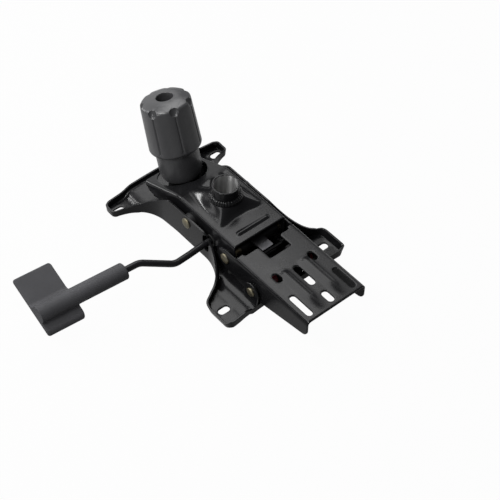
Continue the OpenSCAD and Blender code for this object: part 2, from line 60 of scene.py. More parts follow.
def new_material(name):
    """A material with nodes, its node tree and its Principled shader."""
    material = bpy.data.materials.new(name)
    material.use_nodes = True
    tree = material.node_tree
    return material, tree, tree.nodes["Principled BSDF"]


def set_inputs(node, values):
    """Sets inputs of a node to values, or links them to sockets."""
    for key, value in values.items():
        if isinstance(value, bpy.types.NodeSocket):
            node.id_data.links.new(value, node.inputs[key])
        else:
            node.inputs[key].default_value = value


def add_node(tree, kind, inputs=None, **settings):
    node = tree.nodes.new(kind)
    for key, value in settings.items():
        setattr(node, key, value)
    set_inputs(node, inputs or {})
    return node


def surface_noise(tree, scale, detail):
    """Noise over the object's own coordinates."""
    place = add_node(tree, "ShaderNodeTexCoord").outputs["Object"]
    inputs = {"Vector": place, "Scale": scale, "Detail": detail, "Roughness": 0.55}
    return add_node(tree, "ShaderNodeTexNoise", inputs).outputs["Fac"]


def ramp_colour(tree, shader, factor, stops):
    """Colours the shader over a factor, by (position, colour) stops."""
    node = add_node(tree, "ShaderNodeValToRGB", {"Fac": factor})
    while len(node.color_ramp.elements) < len(stops):
        node.color_ramp.elements.new(0.5)
    for element, (position, colour) in zip(node.color_ramp.elements, stops):
        element.position = position
        element.color = (*colour, 1.0)
    set_inputs(shader, {"Base Color": node.outputs["Color"]})


def range_roughness(tree, shader, factor, low, high):
    """Runs the shader's roughness from low to high over a factor."""
    node = add_node(tree, "ShaderNodeMapRange", {"Value": factor, "To Min": low, "To Max": high})
    set_inputs(shader, {"Roughness": node.outputs["Result"]})


def bump(tree, shader, height, strength, distance):
    """Bump from a height, over edges rounded by the Bevel node."""
    edge = add_node(tree, "ShaderNodeBevel", {"Radius": EDGE_SOFTENING}, samples=4)
    inputs = {"Height": height, "Strength": strength, "Distance": distance, "Normal": edge.outputs["Normal"]}
    set_inputs(shader, {"Normal": add_node(tree, "ShaderNodeBump", inputs).outputs["Normal"]})


def mottled(name, stops, tone, gloss, rough, grain, relief, inputs):
    """A material with slow change in tone and gloss, under a fine grain; a noise is (scale, detail)."""
    material, tree, shader = new_material(name)
    ramp_colour(tree, shader, surface_noise(tree, *tone), stops)
    range_roughness(tree, shader, surface_noise(tree, *gloss), *rough)
    set_inputs(shader, inputs)
    bump(tree, shader, surface_noise(tree, *grain), *relief)
    return material


def powder_coat(name, dark, light, rough):
    """Satin black powder coat with a fine orange peel."""
    return mottled(name, [(0.3, dark), (0.7, light)], tone=(35.0, 6.0), gloss=(60.0, 5.0),
                   rough=(rough - 0.05, rough + 0.07), grain=(1100.0, 2.0), relief=(0.12, 0.0002),
                   inputs={"Specular IOR Level": 0.18})


def moulded_plastic(name, dark, light, rough, grain, shine=0.3):
    """Matt moulded plastic with a fine spark-eroded grain."""
    return mottled(name, [(0.3, dark), (0.75, light)], tone=(28.0, 5.0), gloss=(45.0, 4.0),
                   rough=(rough - 0.04, rough + 0.08), grain=(grain, 3.0), relief=(0.18, 0.00015),
                   inputs={"Specular IOR Level": shine})


def plated_steel(name, stops, rough):
    """Zinc plate with patches of passivation colour and fine scratches."""
    return mottled(name, stops, tone=(140.0, 6.0), gloss=(400.0, 4.0),
                   rough=(rough - 0.08, rough + 0.12), grain=(1500.0, 3.0), relief=(0.08, 0.0001),
                   inputs={"Metallic": 1.0})


def turned_steel(name, dark, light):
    """Bare steel of a bored tube: streaks along its axis, and a sheen that is drawn out."""
    material, tree, shader = new_material(name)
    place = add_node(tree, "ShaderNodeTexCoord").outputs["Object"]
    stretch = add_node(tree, "ShaderNodeMapping", {"Vector": place, "Scale": (1.0, 1.0, 0.04)})
    inputs = {"Vector": stretch.outputs["Vector"], "Scale": 260.0, "Detail": 5.0, "Roughness": 0.6}
    streaks = add_node(tree, "ShaderNodeTexNoise", inputs).outputs["Fac"]
    ramp_colour(tree, shader, streaks, [(0.3, dark), (0.7, light)])
    range_roughness(tree, shader, streaks, 0.36, 0.44)
    marks = add_node(tree, "ShaderNodeTangent", direction_type="RADIAL", axis="Z")
    set_inputs(shader, {"Tangent": marks.outputs["Tangent"], "Anisotropic": 0.9,
                        "Anisotropic Rotation": 0.25, "Metallic": 0.9})
    return material


# The maker of each material and what it is given after the name
LOOKS = {
    "powder_coat": (powder_coat, (0.0045, 0.0045, 0.0049), (0.007, 0.007, 0.0076), 0.19),
    "lever_black": (powder_coat, (0.005, 0.005, 0.0055), (0.009, 0.009, 0.010), 0.30),
    "knob_plastic": (moulded_plastic, (0.029, 0.029, 0.0305), (0.039, 0.039, 0.041), 0.30, 900.0, 0.45),
    "grip_plastic": (moulded_plastic, (0.040, 0.040, 0.0425), (0.052, 0.052, 0.0555), 0.60, 700.0, 0.10),
    "zinc_olive": (plated_steel, [(0.3, (0.13, 0.12, 0.10)), (0.5, (0.22, 0.20, 0.14)),
                                  (0.72, (0.17, 0.12, 0.06))], 0.42),
    "zinc_grey": (plated_steel, [(0.3, (0.05, 0.05, 0.053)), (0.7, (0.09, 0.09, 0.095))], 0.50),
    "bright_steel": (turned_steel, (0.28, 0.28, 0.28), (0.44, 0.44, 0.435)),
    "nylon": (moulded_plastic, (0.010, 0.010, 0.0105), (0.016, 0.016, 0.0165), 0.45, 600.0),
    "red_sleeve": (moulded_plastic, (0.09, 0.008, 0.014), (0.16, 0.014, 0.022), 0.30, 700.0),
    # Near-black painted shade for parts that lie in shade inside the mechanism, darker than their own finish
    "inner_black": (moulded_plastic, (0.003, 0.003, 0.0032), (0.005, 0.005, 0.0052), 0.75, 500.0, 0.02),
    "rubber": (moulded_plastic, (0.012, 0.012, 0.012), (0.020, 0.020, 0.020), 0.62, 500.0),
    "spring_steel": (plated_steel, [(0.3, (0.10, 0.10, 0.11)), (0.7, (0.18, 0.18, 0.19))], 0.35),
}
MATERIALS = {name: make(name, *values) for name, (make, *values) in LOOKS.items()}

# Curves and flat loops

SAME_POINT = 1e-4
FILL_EPSILON = 1e-5
RIM_CLEARANCE = 0.6


def arc(centre, radius, start, end, count=10):
    """Points of an arc in degrees, both ends included."""
    angles = [radians(start + (end - start) * i / count) for i in range(count + 1)]
    return [(centre[0] + radius * cos(a), centre[1] + radius * sin(a)) for a in angles]


def quarter(count):
    """Angles of a quarter turn in radians, both ends included."""
    return [pi / 2 * k / count for k in range(count + 1)]


def step(low, high, value):
    """0 below low, 1 above high, smooth between."""
    t = min(max((value - low) / (high - low), 0), 1)
    return t * t * (3 - 2 * t)


def curve(stops, value):
    """Smooth curve through (place, value) stops with rising places."""
    if value <= stops[0][0]:
        return stops[0][1]
    if value >= stops[-1][0]:
        return stops[-1][1]
    k = next(i for i in range(1, len(stops)) if value <= stops[i][0])
    (x0, y0), (x1, y1) = stops[k - 1], stops[k]
    before, after = stops[max(k - 2, 0)], stops[min(k + 1, len(stops) - 1)]
    m0 = (y1 - before[1]) / (x1 - before[0])
    m1 = (after[1] - y0) / (after[0] - x0)
    h = x1 - x0
    t = (value - x0) / h
    return ((1 + 2 * t) * (1 - t) ** 2 * y0 + t * (1 - t) ** 2 * h * m0
            + t * t * (3 - 2 * t) * y1 + t * t * (t - 1) * h * m1)


def divided(loop, spacing):
    """The closed loop with its long sides cut to about the spacing."""
    out = []
    for (x0, y0), (x1, y1) in zip(loop, loop[1:] + loop[:1]):
        pieces = max(1, round(hypot(x1 - x0, y1 - y0) / spacing))
        out += [(x0 + (x1 - x0) * i / pieces, y0 + (y1 - y0) * i / pieces) for i in range(pieces)]
    return [p for i, p in enumerate(out) if dist(p, out[i - 1]) > SAME_POINT]


def outward(loop):
    """Unit normals of a counter-clockwise loop, pointing out of it."""
    normals = []
    for i in range(len(loop)):
        side = (Vector(loop[(i + 1) % len(loop)]) - Vector(loop[i - 1])).normalized()
        normals.append(Vector((side.y, -side.x)))
    return normals


def moved_in(loop, distance):
    return [(p[0] - n.x * distance, p[1] - n.y * distance) for p, n in zip(loop, outward(loop))]


def mirrored(points):
    return [(-x, y) for x, y in points]


def is_inside(point, loop):
    x, y = point
    odd = False
    for (x0, y0), (x1, y1) in zip(loop, loop[1:] + loop[:1]):
        if (y0 > y) != (y1 > y) and x < x0 + (y - y0) / (y1 - y0) * (x1 - x0):
            odd = not odd
    return odd


def slot_loop(x, y, half_x, half_y):
    """Counter-clockwise slot with round ends, along its longer half."""
    r = min(half_x, half_y)
    if half_x > half_y:
        return arc((x + half_x - r, y), r, -90, 90) + arc((x - half_x + r, y), r, 90, 270)
    return arc((x, y + half_y - r), r, 0, 180) + arc((x, y - half_y + r), r, 180, 360)


def rounded_rectangle(x, y, half_x, half_y, r):
    corners = [(x + half_x - r, y + half_y - r, 0), (x - half_x + r, y + half_y - r, 90),
               (x - half_x + r, y - half_y + r, 180), (x + half_x - r, y - half_y + r, 270)]
    return [p for cx, cy, a in corners for p in arc((cx, cy), r, a, a + 90, 4)]


def filled(outline, holes, spacing):
    """Triangles over a loop with holes: points, faces and the point numbers of each loop."""
    def is_clear(point):
        return is_inside(point, outline) and not any(is_inside(point, h) for h in holes)

    points, edges, spans = [], [], []
    for loop in [outline] + holes:
        first = len(points)
        points += loop
        spans.append(range(first, len(points)))
        edges += [(i, i + 1 if i + 1 < len(points) else first) for i in spans[-1]]
    rim = list(points)
    clearance = RIM_CLEARANCE * spacing
    xs, ys = [p[0] for p in outline], [p[1] for p in outline]
    for i in range(1, int((max(xs) - min(xs)) / spacing) + 1):
        for j in range(1, int((max(ys) - min(ys)) / spacing) + 1):
            p = (min(xs) + i * spacing, min(ys) + j * spacing)
            if is_clear(p) and min(abs(p[0] - q[0]) + abs(p[1] - q[1]) for q in rim) > clearance:
                points.append(p)
    result = delaunay_2d_cdt([Vector(p) for p in points], edges, [], 0, FILL_EPSILON)
    flat = [tuple(p) for p in result[0]]
    number = {old: new for new, olds in enumerate(result[3]) for old in olds}
    faces = []
    for face in result[2]:
        if is_clear([sum(flat[i][k] for i in face) / len(face) for k in (0, 1)]):
            faces.append(tuple(face))
    return flat, faces, [[number[i] for i in span] for span in spans]


# Meshes

MERGE = 1e-6
SHARP_ANGLE = 35
CUT_EDGE = 0.35
ROLL = 0.8


class Shape:
    """Points in millimetres and faces that become one mesh."""

    def __init__(self):
        self.points = []
        self.faces = []

    def add(self, points):
        first = len(self.points)
        self.points += [tuple(p) for p in points]
        return list(range(first, len(self.points)))

    def skin(self, rings):
        """Quads from each ring to the next; all have the same length."""
        for ring, other in zip(rings, rings[1:]):
            for i in range(len(ring)):
                k = (i + 1) % len(ring)
                self.faces.append((ring[i], ring[k], other[k], other[i]))

    def cap_ends(self, rings):
        self.faces += [tuple(rings[0]), tuple(rings[-1])]

    def loft(self, rings):
        """A closed skin over the rings."""
        self.skin(rings)
        self.cap_ends(rings)

    def lathe(self, profile, place, count):
        """Turns (radius, height) points about the axis of place; the ends stay open."""
        turns = [2 * pi * i / count for i in range(count)]
        rings = [self.add([place(r * cos(t), r * sin(t), h) for t in turns]) for r, h in profile]
        self.skin(rings)
        return rings


def turned(profile, place, count, hollow=False):
    """A closed turned shape: with flat ends, or hollow with its last point joined to its first."""
    shape = Shape()
    rings = shape.lathe(profile, place, count)
    if hollow:
        shape.skin([rings[-1], rings[0]])
    else:
        shape.cap_ends(rings)
    return shape


def across(y, z):
    """The placing of a shape that is turned about an axis along X."""
    return lambda a, b, h: (h, y + a, z + b)


def close_edge(shape, loop, rim, place, thickness, inward):
    """Joins the two skins of a sheet round a loop by a rolled edge; inward is -1 for a hole."""
    upper, lower = rim
    steps = [(ROLL * (1 - sin(a)), ROLL * (1 - cos(a))) for a in quarter(3)[1:]]
    steps += [(inset, thickness - depth) for inset, depth in reversed(steps)]
    rings = [shape.add([place(u, v, depth) for u, v in moved_in(loop, inset * inward)])
             for inset, depth in steps]
    shape.skin([upper, *rings, lower])


def skin_sheet(shape, edge, holes, spacing, place, thickness):
    """Both skins of a sheet in an edge with holes; returns the points of each loop in both."""
    flat, faces, loops = filled(edge, [moved_in(h, -ROLL) for h in holes], spacing)
    top = shape.add([place(u, v, 0) for u, v in flat])
    low = shape.add([place(u, v, thickness) for u, v in flat])
    shape.faces += [tuple(top[i] for i in f) for f in faces]
    shape.faces += [tuple(low[i] for i in reversed(f)) for f in faces]
    return [([top[i] for i in numbers], [low[i] for i in numbers]) for numbers in loops]


def cut_sheet(shape, outline, holes, spacing, place, thickness):
    """A sheet over a loop with holes: place(u, v, depth) gives its points. Its cut edges are rolled."""
    outline = divided(outline, spacing)
    holes = [divided(h, spacing) for h in holes]
    rims = skin_sheet(shape, moved_in(outline, ROLL), holes, spacing, place, thickness)
    for k, (loop, rim) in enumerate(zip([outline] + holes, rims)):
        close_edge(shape, loop, rim, place, thickness, -1 if k else 1)


def smooth(mesh, sharp):
    """Smooth shading but for edges sharper than an angle in degrees."""
    mesh.shade_smooth()
    mesh.set_sharp_from_angle(angle=radians(sharp))


def add_object(name, data):
    obj = bpy.data.objects.new(name, data)
    bpy.context.scene.collection.objects.link(obj)
    return obj


def make_object(name, shape, sharp=SHARP_ANGLE):
    """A smooth mesh object in metres with its normals out."""
    mesh = bpy.data.meshes.new(name)
    mesh.from_pydata([(x * MM, y * MM, z * MM) for x, y, z in shape.points], [], shape.faces)
    edit = bmesh.new()
    edit.from_mesh(mesh)
    bmesh.ops.remove_doubles(edit, verts=edit.verts, dist=MERGE)
    bmesh.ops.recalc_face_normals(edit, faces=edit.faces)
    edit.to_mesh(mesh)
    edit.free()
    smooth(mesh, sharp)
    return add_object(name, mesh)


def cut_out(obj, cutters, sharp=SHARP_ANGLE, overlaps=False):
    """Takes closed cutter shapes out of an object, which may overlap itself a little."""
    tools = [make_object("cutter", c) for c in cutters]
    for tool in tools:
        modifier = obj.modifiers.new("cut", "BOOLEAN")
        modifier.operation = "DIFFERENCE"
        modifier.solver = "EXACT"
        modifier.use_self = overlaps
        modifier.object = tool
    bpy.context.view_layer.update()
    graph = bpy.context.evaluated_depsgraph_get()
    mesh = bpy.data.meshes.new_from_object(obj.evaluated_get(graph))
    obj.modifiers.clear()
    obj.data = mesh
    smooth(mesh, sharp)
    for tool in tools:
        bpy.data.objects.remove(tool)


def finish_piece(obj, body, slot, *nodes, look=None):
    """Dresses a piece, makes it ride on its body and stand for its CAD nodes."""
    obj.data.materials.clear()
    obj.data.materials.append(MATERIALS[look or slot])
    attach(obj, body)
    if nodes:
        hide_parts(*nodes)


def bar_cutter(y, z, radius, x0, x1):
    """A closed round bar along X."""
    return turned([(radius, x0), (radius, x1)], across(y, z), 48)


# Axes and bores that pieces share; an axis along X is (y, z)

PIVOT_A, PIVOT_B, PIVOT_C = (4, 40), (-63, 35), (-114, 26)
LEVER_Y, LEVER_Z = -31.5, 35.5
PIVOT_BORE, LINK_BORE, BUSH_BORE, GROMMET_BORE = 5.05, 4.05, 7.1, 7.6
# Half length of the cutters along X, and how far a cutter runs past a wall
CUT_X, CUT_PAST = 60, 4

# Seat plate

SHEET = 2.5
SEAT_DX, SEAT_DY, SEAT_SLOT = 150, 200, (7.5, 4.25)
SEAT_FRONT, FRONT_BOW, REAR_MIDDLE = 114, 4, 122
FRONT_EAR_X, REAR_EAR_X, EAR_CORNER, EAR_TURN = 86.8, 88.2, 8, 84
WALL_X = 46
FRONT_WAIST_R, FRONT_TURN_R = 45, 6
REAR_WAIST, REAR_WAIST_R = (94, -32), 48
# Each side has its own front waist, rear turn and rear edge: the ears are not quite alike
LEFT_SIDE = {"waist_y": 49, "rear_turn": 24, "rear": 126}
RIGHT_SIDE = {"waist_y": 47, "rear_turn": 13, "rear": 123.5}
WEB_RISE, WEB_FLAT_X, WEB_FOOT_X, WEB_BEND = 7, 50, 59.5, 1.5
# Where the front and rear edges begin, and between which x their rims change to that of the ears
FRONT_EDGE, FRONT_FALL = SEAT_FRONT - 2, (44, 62)
REAR_EDGE, REAR_RISE = 1 - REAR_MIDDLE, (52, 60)
RIM_TOP, FLANGE_TOP = 11.5, 15.5
# Radius in the foot of the rim, what it loses between two x, and the rim height that has all of it
RIM_R, RIM_R_LOSS, RIM_R_FADE, RIM_R_HEIGHT = 2.2, 1.7, (60, 75), 4
# The rims of the ears lean out where they face sideways and lie far enough out
FRONT_FLARE, REAR_FLARE, FLARE_FACING, FLARE_X = 1.1, 3.7, (0.6, 0.95), (70, 80)
# Heights of the side walls, and of the outer bend at their foot, as (y, z)
WALL_FRONT = [(36, 50), (43, 46.5), (57, 34.8), (72.5, 24), (84, 15.6), (88.6, 11.9),
              (92, 10.4), (100, 10.5), (111, 11.5)]
WALL_LEFT = [(-92, 11.5), (-80, 12.4), (-70, 15.5), (-62, 20), (-54, 26.5), (-47, 34),
             (-40, 41.5), (-33, 47.5), (-25, 50)]
WALL_RIGHT = [(-92, 11.5), (-80, 12), (-73.3, 20), (-67.8, 27), (-61.6, 33.5), (-51, 42.5),
              (-37, 49.5), (-25, 50)]
WALL_FOOT = [(-80, 0), (-60, 3), (-30, 7), (20, 7), (42, 5), (59, 3), (74, 2), (92, 0)]
LEVER_SLOT = (5.5, 12.5)
WINDOW_X, WINDOW_Y, WINDOW_HALF, WINDOW_CORNER = 36, -111, (8, 9), 2
LUG_X, LUG_R, LUG_REAR, LUG_SINK, LUG_HOLE = 47.5, 12, 9, 0.5, (4.95, 4.15)
RIM_SPACING, HOLE_SPACING, FLOOR_SPACING, LUG_SPACING = 3, 2, 4, 2.5


def bow_radius(half, height):
    """Radius of an arc, from half its chord and its height."""
    return (half * half + height * height) / (2 * height)


def seat_half(waist_y, rear_turn, rear):
    """Outline of one side of the seat plate, front to rear, with x counted outwards."""
    front_x, rear_x = FRONT_EAR_X - EAR_CORNER, REAR_EAR_X - EAR_CORNER
    front_bow, rear_bow = bow_radius(front_x, FRONT_BOW), bow_radius(rear_x, rear - REAR_MIDDLE)
    front_end = degrees(asin(front_x / front_bow))
    rear_end = degrees(asin(rear_x / rear_bow))
    waist = (WALL_X + FRONT_WAIST_R, waist_y)
    front_r, rear_r = FRONT_WAIST_R + FRONT_TURN_R, REAR_WAIST_R + rear_turn
    f = acos((waist[0] - FRONT_EAR_X + FRONT_TURN_R) / front_r)
    r = acos((REAR_WAIST[0] - REAR_EAR_X + rear_turn) / rear_r)
    front_centre = (waist[0] - front_r * cos(f), waist[1] + front_r * sin(f))
    rear_centre = (REAR_WAIST[0] - rear_r * cos(r), REAR_WAIST[1] - rear_r * sin(r))
    front_turn, back_turn = degrees(f), degrees(r)
    return (arc((0, SEAT_FRONT + FRONT_BOW - front_bow), front_bow, 90, 90 - front_end, 20)
            + arc((front_x, SEAT_FRONT - EAR_CORNER), EAR_CORNER, EAR_TURN, 0, 10)
            + arc(front_centre, FRONT_TURN_R, 0, -front_turn, 8)
            + arc(waist, FRONT_WAIST_R, 180 - front_turn, 180, 24)
            + arc(REAR_WAIST, REAR_WAIST_R, 180, 180 + back_turn, 24)
            + arc(rear_centre, rear_turn, back_turn, 0, 10)
            + arc((rear_x, EAR_CORNER - rear), EAR_CORNER, 0, -EAR_TURN, 10)
            + arc((0, -REAR_MIDDLE - rear_bow), rear_bow, 90 - rear_end, 90, 20))


def web_height(x):
    """Underside of the seat sheet: high in the middle, low at the pads, with short bends between."""
    share = (WEB_FOOT_X - abs(x)) / (WEB_FOOT_X - WEB_FLAT_X)
    limit = WEB_BEND / (WEB_FOOT_X - WEB_FLAT_X)
    low = max(share + limit, 0) ** 2 / (4 * limit) if share < limit else share
    left = 1 - share
    high = max(left + limit, 0) ** 2 / (4 * limit) if left < limit else left
    return WEB_RISE * (low if share < 0.5 else 1 - high)


def rim_height(x, y):
    if y < REAR_EDGE:
        return web_height(x) + SHEET + (RIM_TOP - SHEET) * step(*REAR_RISE, abs(x))
    if y > FRONT_EDGE:
        return FLANGE_TOP + (RIM_TOP - FLANGE_TOP) * step(*FRONT_FALL, abs(x))
    if y > 0:
        return curve(WALL_FRONT, y)
    return curve(WALL_LEFT if x < 0 else WALL_RIGHT, y)


def rim_section(x, y):
    """Section of the turned-up rim as (distance in, height), from the floor over the top and under."""
    low, top = web_height(x), rim_height(x, y)
    foot = min(low, curve(WALL_FOOT, y))
    inner_r = RIM_R - RIM_R_LOSS * step(*RIM_R_FADE, abs(x))
    share = min(max((top - low - SHEET) / RIM_R_HEIGHT, 0), 1)
    r = inner_r * share
    outer = CUT_EDGE + (SHEET + inner_r - CUT_EDGE) * share
    floor = low + SHEET
    return ([(SHEET + inner_r, floor)]
            + arc((SHEET + r, floor + r), r, 270, 180, 5)
            + [(SHEET, max(top - CUT_EDGE, floor + r)), (SHEET - CUT_EDGE, top), (CUT_EDGE, top)]
            + [(0, top - CUT_EDGE)]
            + arc((outer, foot + outer), outer, 180, 270, 6)
            + [(SHEET + inner_r, low)])


def seat_rim(shape, loop):
    """Sweeps the rim round the outline; returns its inner loop."""
    rings = []
    for (x, y), n in zip(loop, outward(loop)):
        low, top = web_height(x), rim_height(x, y)
        side = step(*FLARE_FACING, abs(n.x)) * step(*FLARE_X, abs(x))
        flare = side * (FRONT_FLARE if y > 0 else REAR_FLARE)
        points = []
        for d, z in rim_section(x, y):
            out = flare * (z - low) / (top - low) - d
            points.append((x + n.x * out, y + n.y * out, z))
        rings.append(shape.add(points))
    columns = list(zip(*rings))
    shape.skin(columns)
    return [shape.points[i][:2] for i in columns[0]]


def at_seat(x, y, depth):
    return (x, y, web_height(x) + SHEET - depth)


def seat_floor(shape, inner):
    """The web and pads between the rims, with the seat slots and the windows of the link lugs."""
    holes = [slot_loop(sx * SEAT_DX / 2, sy * SEAT_DY / 2, *SEAT_SLOT) for sx in (-1, 1) for sy in (-1, 1)]
    holes += [rounded_rectangle(sx * WINDOW_X, WINDOW_Y, *WINDOW_HALF, WINDOW_CORNER) for sx in (-1, 1)]
    holes = [divided(h, HOLE_SPACING) for h in holes]
    rims = skin_sheet(shape, inner, holes, FLOOR_SPACING, at_seat, SHEET)
    for loop, rim in zip(holes, rims[1:]):
        close_edge(shape, loop, rim, at_seat, SHEET, -1)


def link_lug(shape, x):
    """An upright lug with the hole of the link shaft, x at its outer face."""
    y, z = PIVOT_C
    foot = WEB_RISE + SHEET - LUG_SINK
    outline = arc((y, z), LUG_R, 0, 180, 16) + [(y - LUG_REAR, foot), (y + LUG_R, foot)]
    inward = -1 if x > 0 else 1
    cut_sheet(shape, outline, [slot_loop(y, z, *LUG_HOLE)], LUG_SPACING,
              lambda u, v, depth: (x + inward * depth, u, v), SHEET)


def lever_slot_cutter():
    """The upright slot in the left wall, through which the rod runs."""
    shape = Shape()
    outline = slot_loop(LEVER_Y, LEVER_Z, *LEVER_SLOT)
    ends = (-WALL_X - CUT_PAST, -WALL_X + SHEET + CUT_PAST)
    shape.loft([shape.add([(x, y, z) for y, z in outline]) for x in ends])
    return shape


def build_seat_plate():
    loop = seat_half(**RIGHT_SIDE) + list(reversed(mirrored(seat_half(**LEFT_SIDE))))
    loop = divided(list(reversed(loop)), RIM_SPACING)
    shape = Shape()
    seat_floor(shape, seat_rim(shape, loop))
    plate = make_object("pressed_seat_plate", shape)
    cut_out(plate, [lever_slot_cutter(), bar_cutter(*PIVOT_A, PIVOT_BORE, -CUT_X, CUT_X)])
    lugs = Shape()
    for x in (-LUG_X, LUG_X):
        link_lug(lugs, x)
    lugs = make_object("link_lugs", lugs)
    finish_piece(plate, "seat", "powder_coat", "seat_plate")
    finish_piece(lugs, "seat", "powder_coat")


# Housing

HOUSING_X, HOUSING_TOP, HOUSING_LOW = 38, 59, 23.3
HOUSING_REAR, HOUSING_NOSE = -72.2, 96
# The edges' arcs stop an angle short of the top's first grid point
EDGE_R, EDGE_END = 4, 96
SLOPE_Y, CREASE = 30, 6
SLOPE = tan(radians(22.5))
# The walls' front ends lean back below the slope, from a y on
NOSE_LEAN, LEAN_FROM = 1.2, 60
SOCKET_Y, SOCKET_R, SOCKET_TOP, SOCKET_LOW = -12, 16.5, 87.5, 49
SOCKET_CUT_GAP, SOCKET_CUT_Z = 0.05, (40, 90)
COLLAR_R = 19.6
BOSS_H, BOSS_X, BOSS_TAPER, BOSS_REAR, BOSS_FRONT = 11, 28.7, 0.108, 29, 43
BOSS_HOLLOW = 0.3
# How far the middle of the boss's front and rear foot is drawn in, and where along it that ends
FRONT_DRAWN, REAR_DRAWN = (0.38, 0, 0.78), (0.12, 0.3, 0.75)
BEAD_Y, BEAD_REACH, BEAD_W, BEAD_H, BEAD_CREST = -60.5, 20.5, 3.5, 1.6, 0.25
KNOB_LEAN, KNOB_Y, KNOB_Z = radians(16), 70.5, 42.22
# The sheet rolls down round the knob's neck, between these x
NECK_OPENING, NECK_ROLL, ROLL_BEGIN, ROLL_END = 31, 3.5, (-12, 2), (18, 26)
NECK_CUT = 40
GRID_Y, GRID_X, GRID_WALL, PRESS_PASSES = 140, 54, 6, 8
TINY = 1e-6


def at_knob(a, b, s):
    """From the knob's own frame, s along its axis, to the part's."""
    return (a, KNOB_Y + b * cos(KNOB_LEAN) + s * sin(KNOB_LEAN),
            KNOB_Z - b * sin(KNOB_LEAN) + s * cos(KNOB_LEAN))


def housing_top(y):
    """Top of the housing: level, then sloping down to the front over a soft crease."""
    d = y - SLOPE_Y
    if d > CREASE:
        return HOUSING_TOP - SLOPE * d
    return HOUSING_TOP - SLOPE * max(d + CREASE, 0) ** 2 / (4 * CREASE)


def boss_reach(x, d):
    """Distance from the socket axis to the boss's foot, towards (x, d), and how near a ridge that is."""
    depth = BOSS_FRONT if d > 0 else BOSS_REAR
    to_end = depth / max(abs(d), TINY)
    to_side = BOSS_X / max(abs(x) + BOSS_TAPER * d, TINY)
    if to_side <= to_end:
        return hypot(x, d) * to_side, abs(d) * to_side / depth
    v = abs(x) * to_end / (BOSS_X - BOSS_TAPER * copysign(depth, d))
    share, low, high = FRONT_DRAWN if d > 0 else REAR_DRAWN
    drawn = share * (1 - step(low, high, v))
    return hypot(x, d) * to_end * (1 - drawn), v


def boss_height(x, y):
    """The pressed star round the socket: four straight ridges with hollow faces between."""
    d = y - SOCKET_Y
    out = hypot(x, d)
    if out <= COLLAR_R:
        return BOSS_H
    reach, near = boss_reach(x, d)
    if out >= reach:
        return 0
    hollow = 1 + BOSS_HOLLOW * (1 - near * near)
    return BOSS_H * (1 - (out - COLLAR_R) / (reach - COLLAR_R)) ** hollow


def neck_drop(x, y, z):
    """How far the sheet rolls down at the opening round the knob's neck."""
    rise, run = z - KNOB_Z, y - KNOB_Y
    out = hypot(x, run * cos(KNOB_LEAN) - rise * sin(KNOB_LEAN)) - NECK_OPENING
    if out >= NECK_ROLL:
        return 0
    drop = NECK_ROLL - sqrt(NECK_ROLL ** 2 - (NECK_ROLL - max(out, 0)) ** 2)
    return drop * step(*ROLL_BEGIN, x) * (1 - step(*ROLL_END, x))


def bead_height(x, y):
    out = hypot(max(abs(x) - BEAD_REACH, 0), y - BEAD_Y)
    return BEAD_H * (1 - step(BEAD_CREST * BEAD_W, BEAD_W, out))


def softened(heights, passes):
    """Averages each height with its neighbours, as a press does with the corners of a sheet."""
    for _ in range(passes):
        last = len(heights) - 1
        end = len(heights[0]) - 1
        heights = [[(2 * h + row[max(j - 1, 0)] + row[min(j + 1, end)]
                     + heights[max(i - 1, 0)][j] + heights[min(i + 1, last)][j]) / 6
                    for j, h in enumerate(row)] for i, row in enumerate(heights)]
    return heights


def housing_row(y, xs, heights):
    """One section of the housing's outside, from the left wall's foot over the top to the right's."""
    top = housing_top(y)
    foot = [HOUSING_LOW + (top - EDGE_R - HOUSING_LOW) * i / GRID_WALL for i in range(GRID_WALL)]
    left = [(-HOUSING_X, z) for z in foot]
    left += arc((-HOUSING_X + EDGE_R, top - EDGE_R), EDGE_R, 180, EDGE_END, 6)
    right = mirrored(reversed(left))
    middle = [(x, top + h - neck_drop(x, y, top)) for x, h in zip(xs, heights)]
    lean = NOSE_LEAN * step(LEAN_FROM, HOUSING_NOSE, y)
    return [Vector((x, y + min(z - top, 0) * lean, z)) for x, z in left + middle + right]


def border(grid):
    """The values round a grid, in order."""
    sides = grid[0] + [row[-1] for row in grid[1:-1]]
    return sides + list(reversed(grid[-1])) + [row[0] for row in reversed(grid[1:-1])]


def roll_border(shape, rows, outer, inner, thickness):
    """Joins the two skins of a grid by a half-round edge."""
    last, end = len(rows) - 2, len(rows[0]) - 2
    ways = border([[(p - rows[min(max(i, 1), last)][min(max(j, 1), end)]).normalized()
                    for j, p in enumerate(row)] for i, row in enumerate(rows)])
    upper, lower = border(outer), border(inner)
    rings = [upper]
    for turn in (30, 60, 90, 120, 150):
        c, s = cos(radians(turn)), sin(radians(turn))
        ring = []
        for i, k, way in zip(upper, lower, ways):
            a, b = Vector(shape.points[i]), Vector(shape.points[k])
            ring.append((a + b) / 2 + (a - b) / 2 * c + way * thickness / 2 * s)
        rings.append(shape.add(ring))
    shape.skin(rings + [lower])


def grid_sheet(shape, rows, thickness):
    """A sheet from rows of outer points; its inner skin lies the thickness below."""
    outer, inner = [], []
    for i, row in enumerate(rows):
        before, after = rows[max(i - 1, 0)], rows[min(i + 1, len(rows) - 1)]
        deep = []
        for j, p in enumerate(row):
            sideways = row[min(j + 1, len(row) - 1)] - row[max(j - 1, 0)]
            deep.append(p - sideways.cross(after[j] - before[j]).normalized() * thickness)
        outer.append(shape.add(row))
        inner.append(shape.add(deep))
    for skin in (outer, inner):
        for row, other in zip(skin, skin[1:]):
            for j in range(len(row) - 1):
                shape.faces.append((row[j], row[j + 1], other[j + 1], other[j]))
    roll_border(shape, rows, outer, inner, thickness)


def at_socket(a, b, h):
    return (a, SOCKET_Y + b, h)


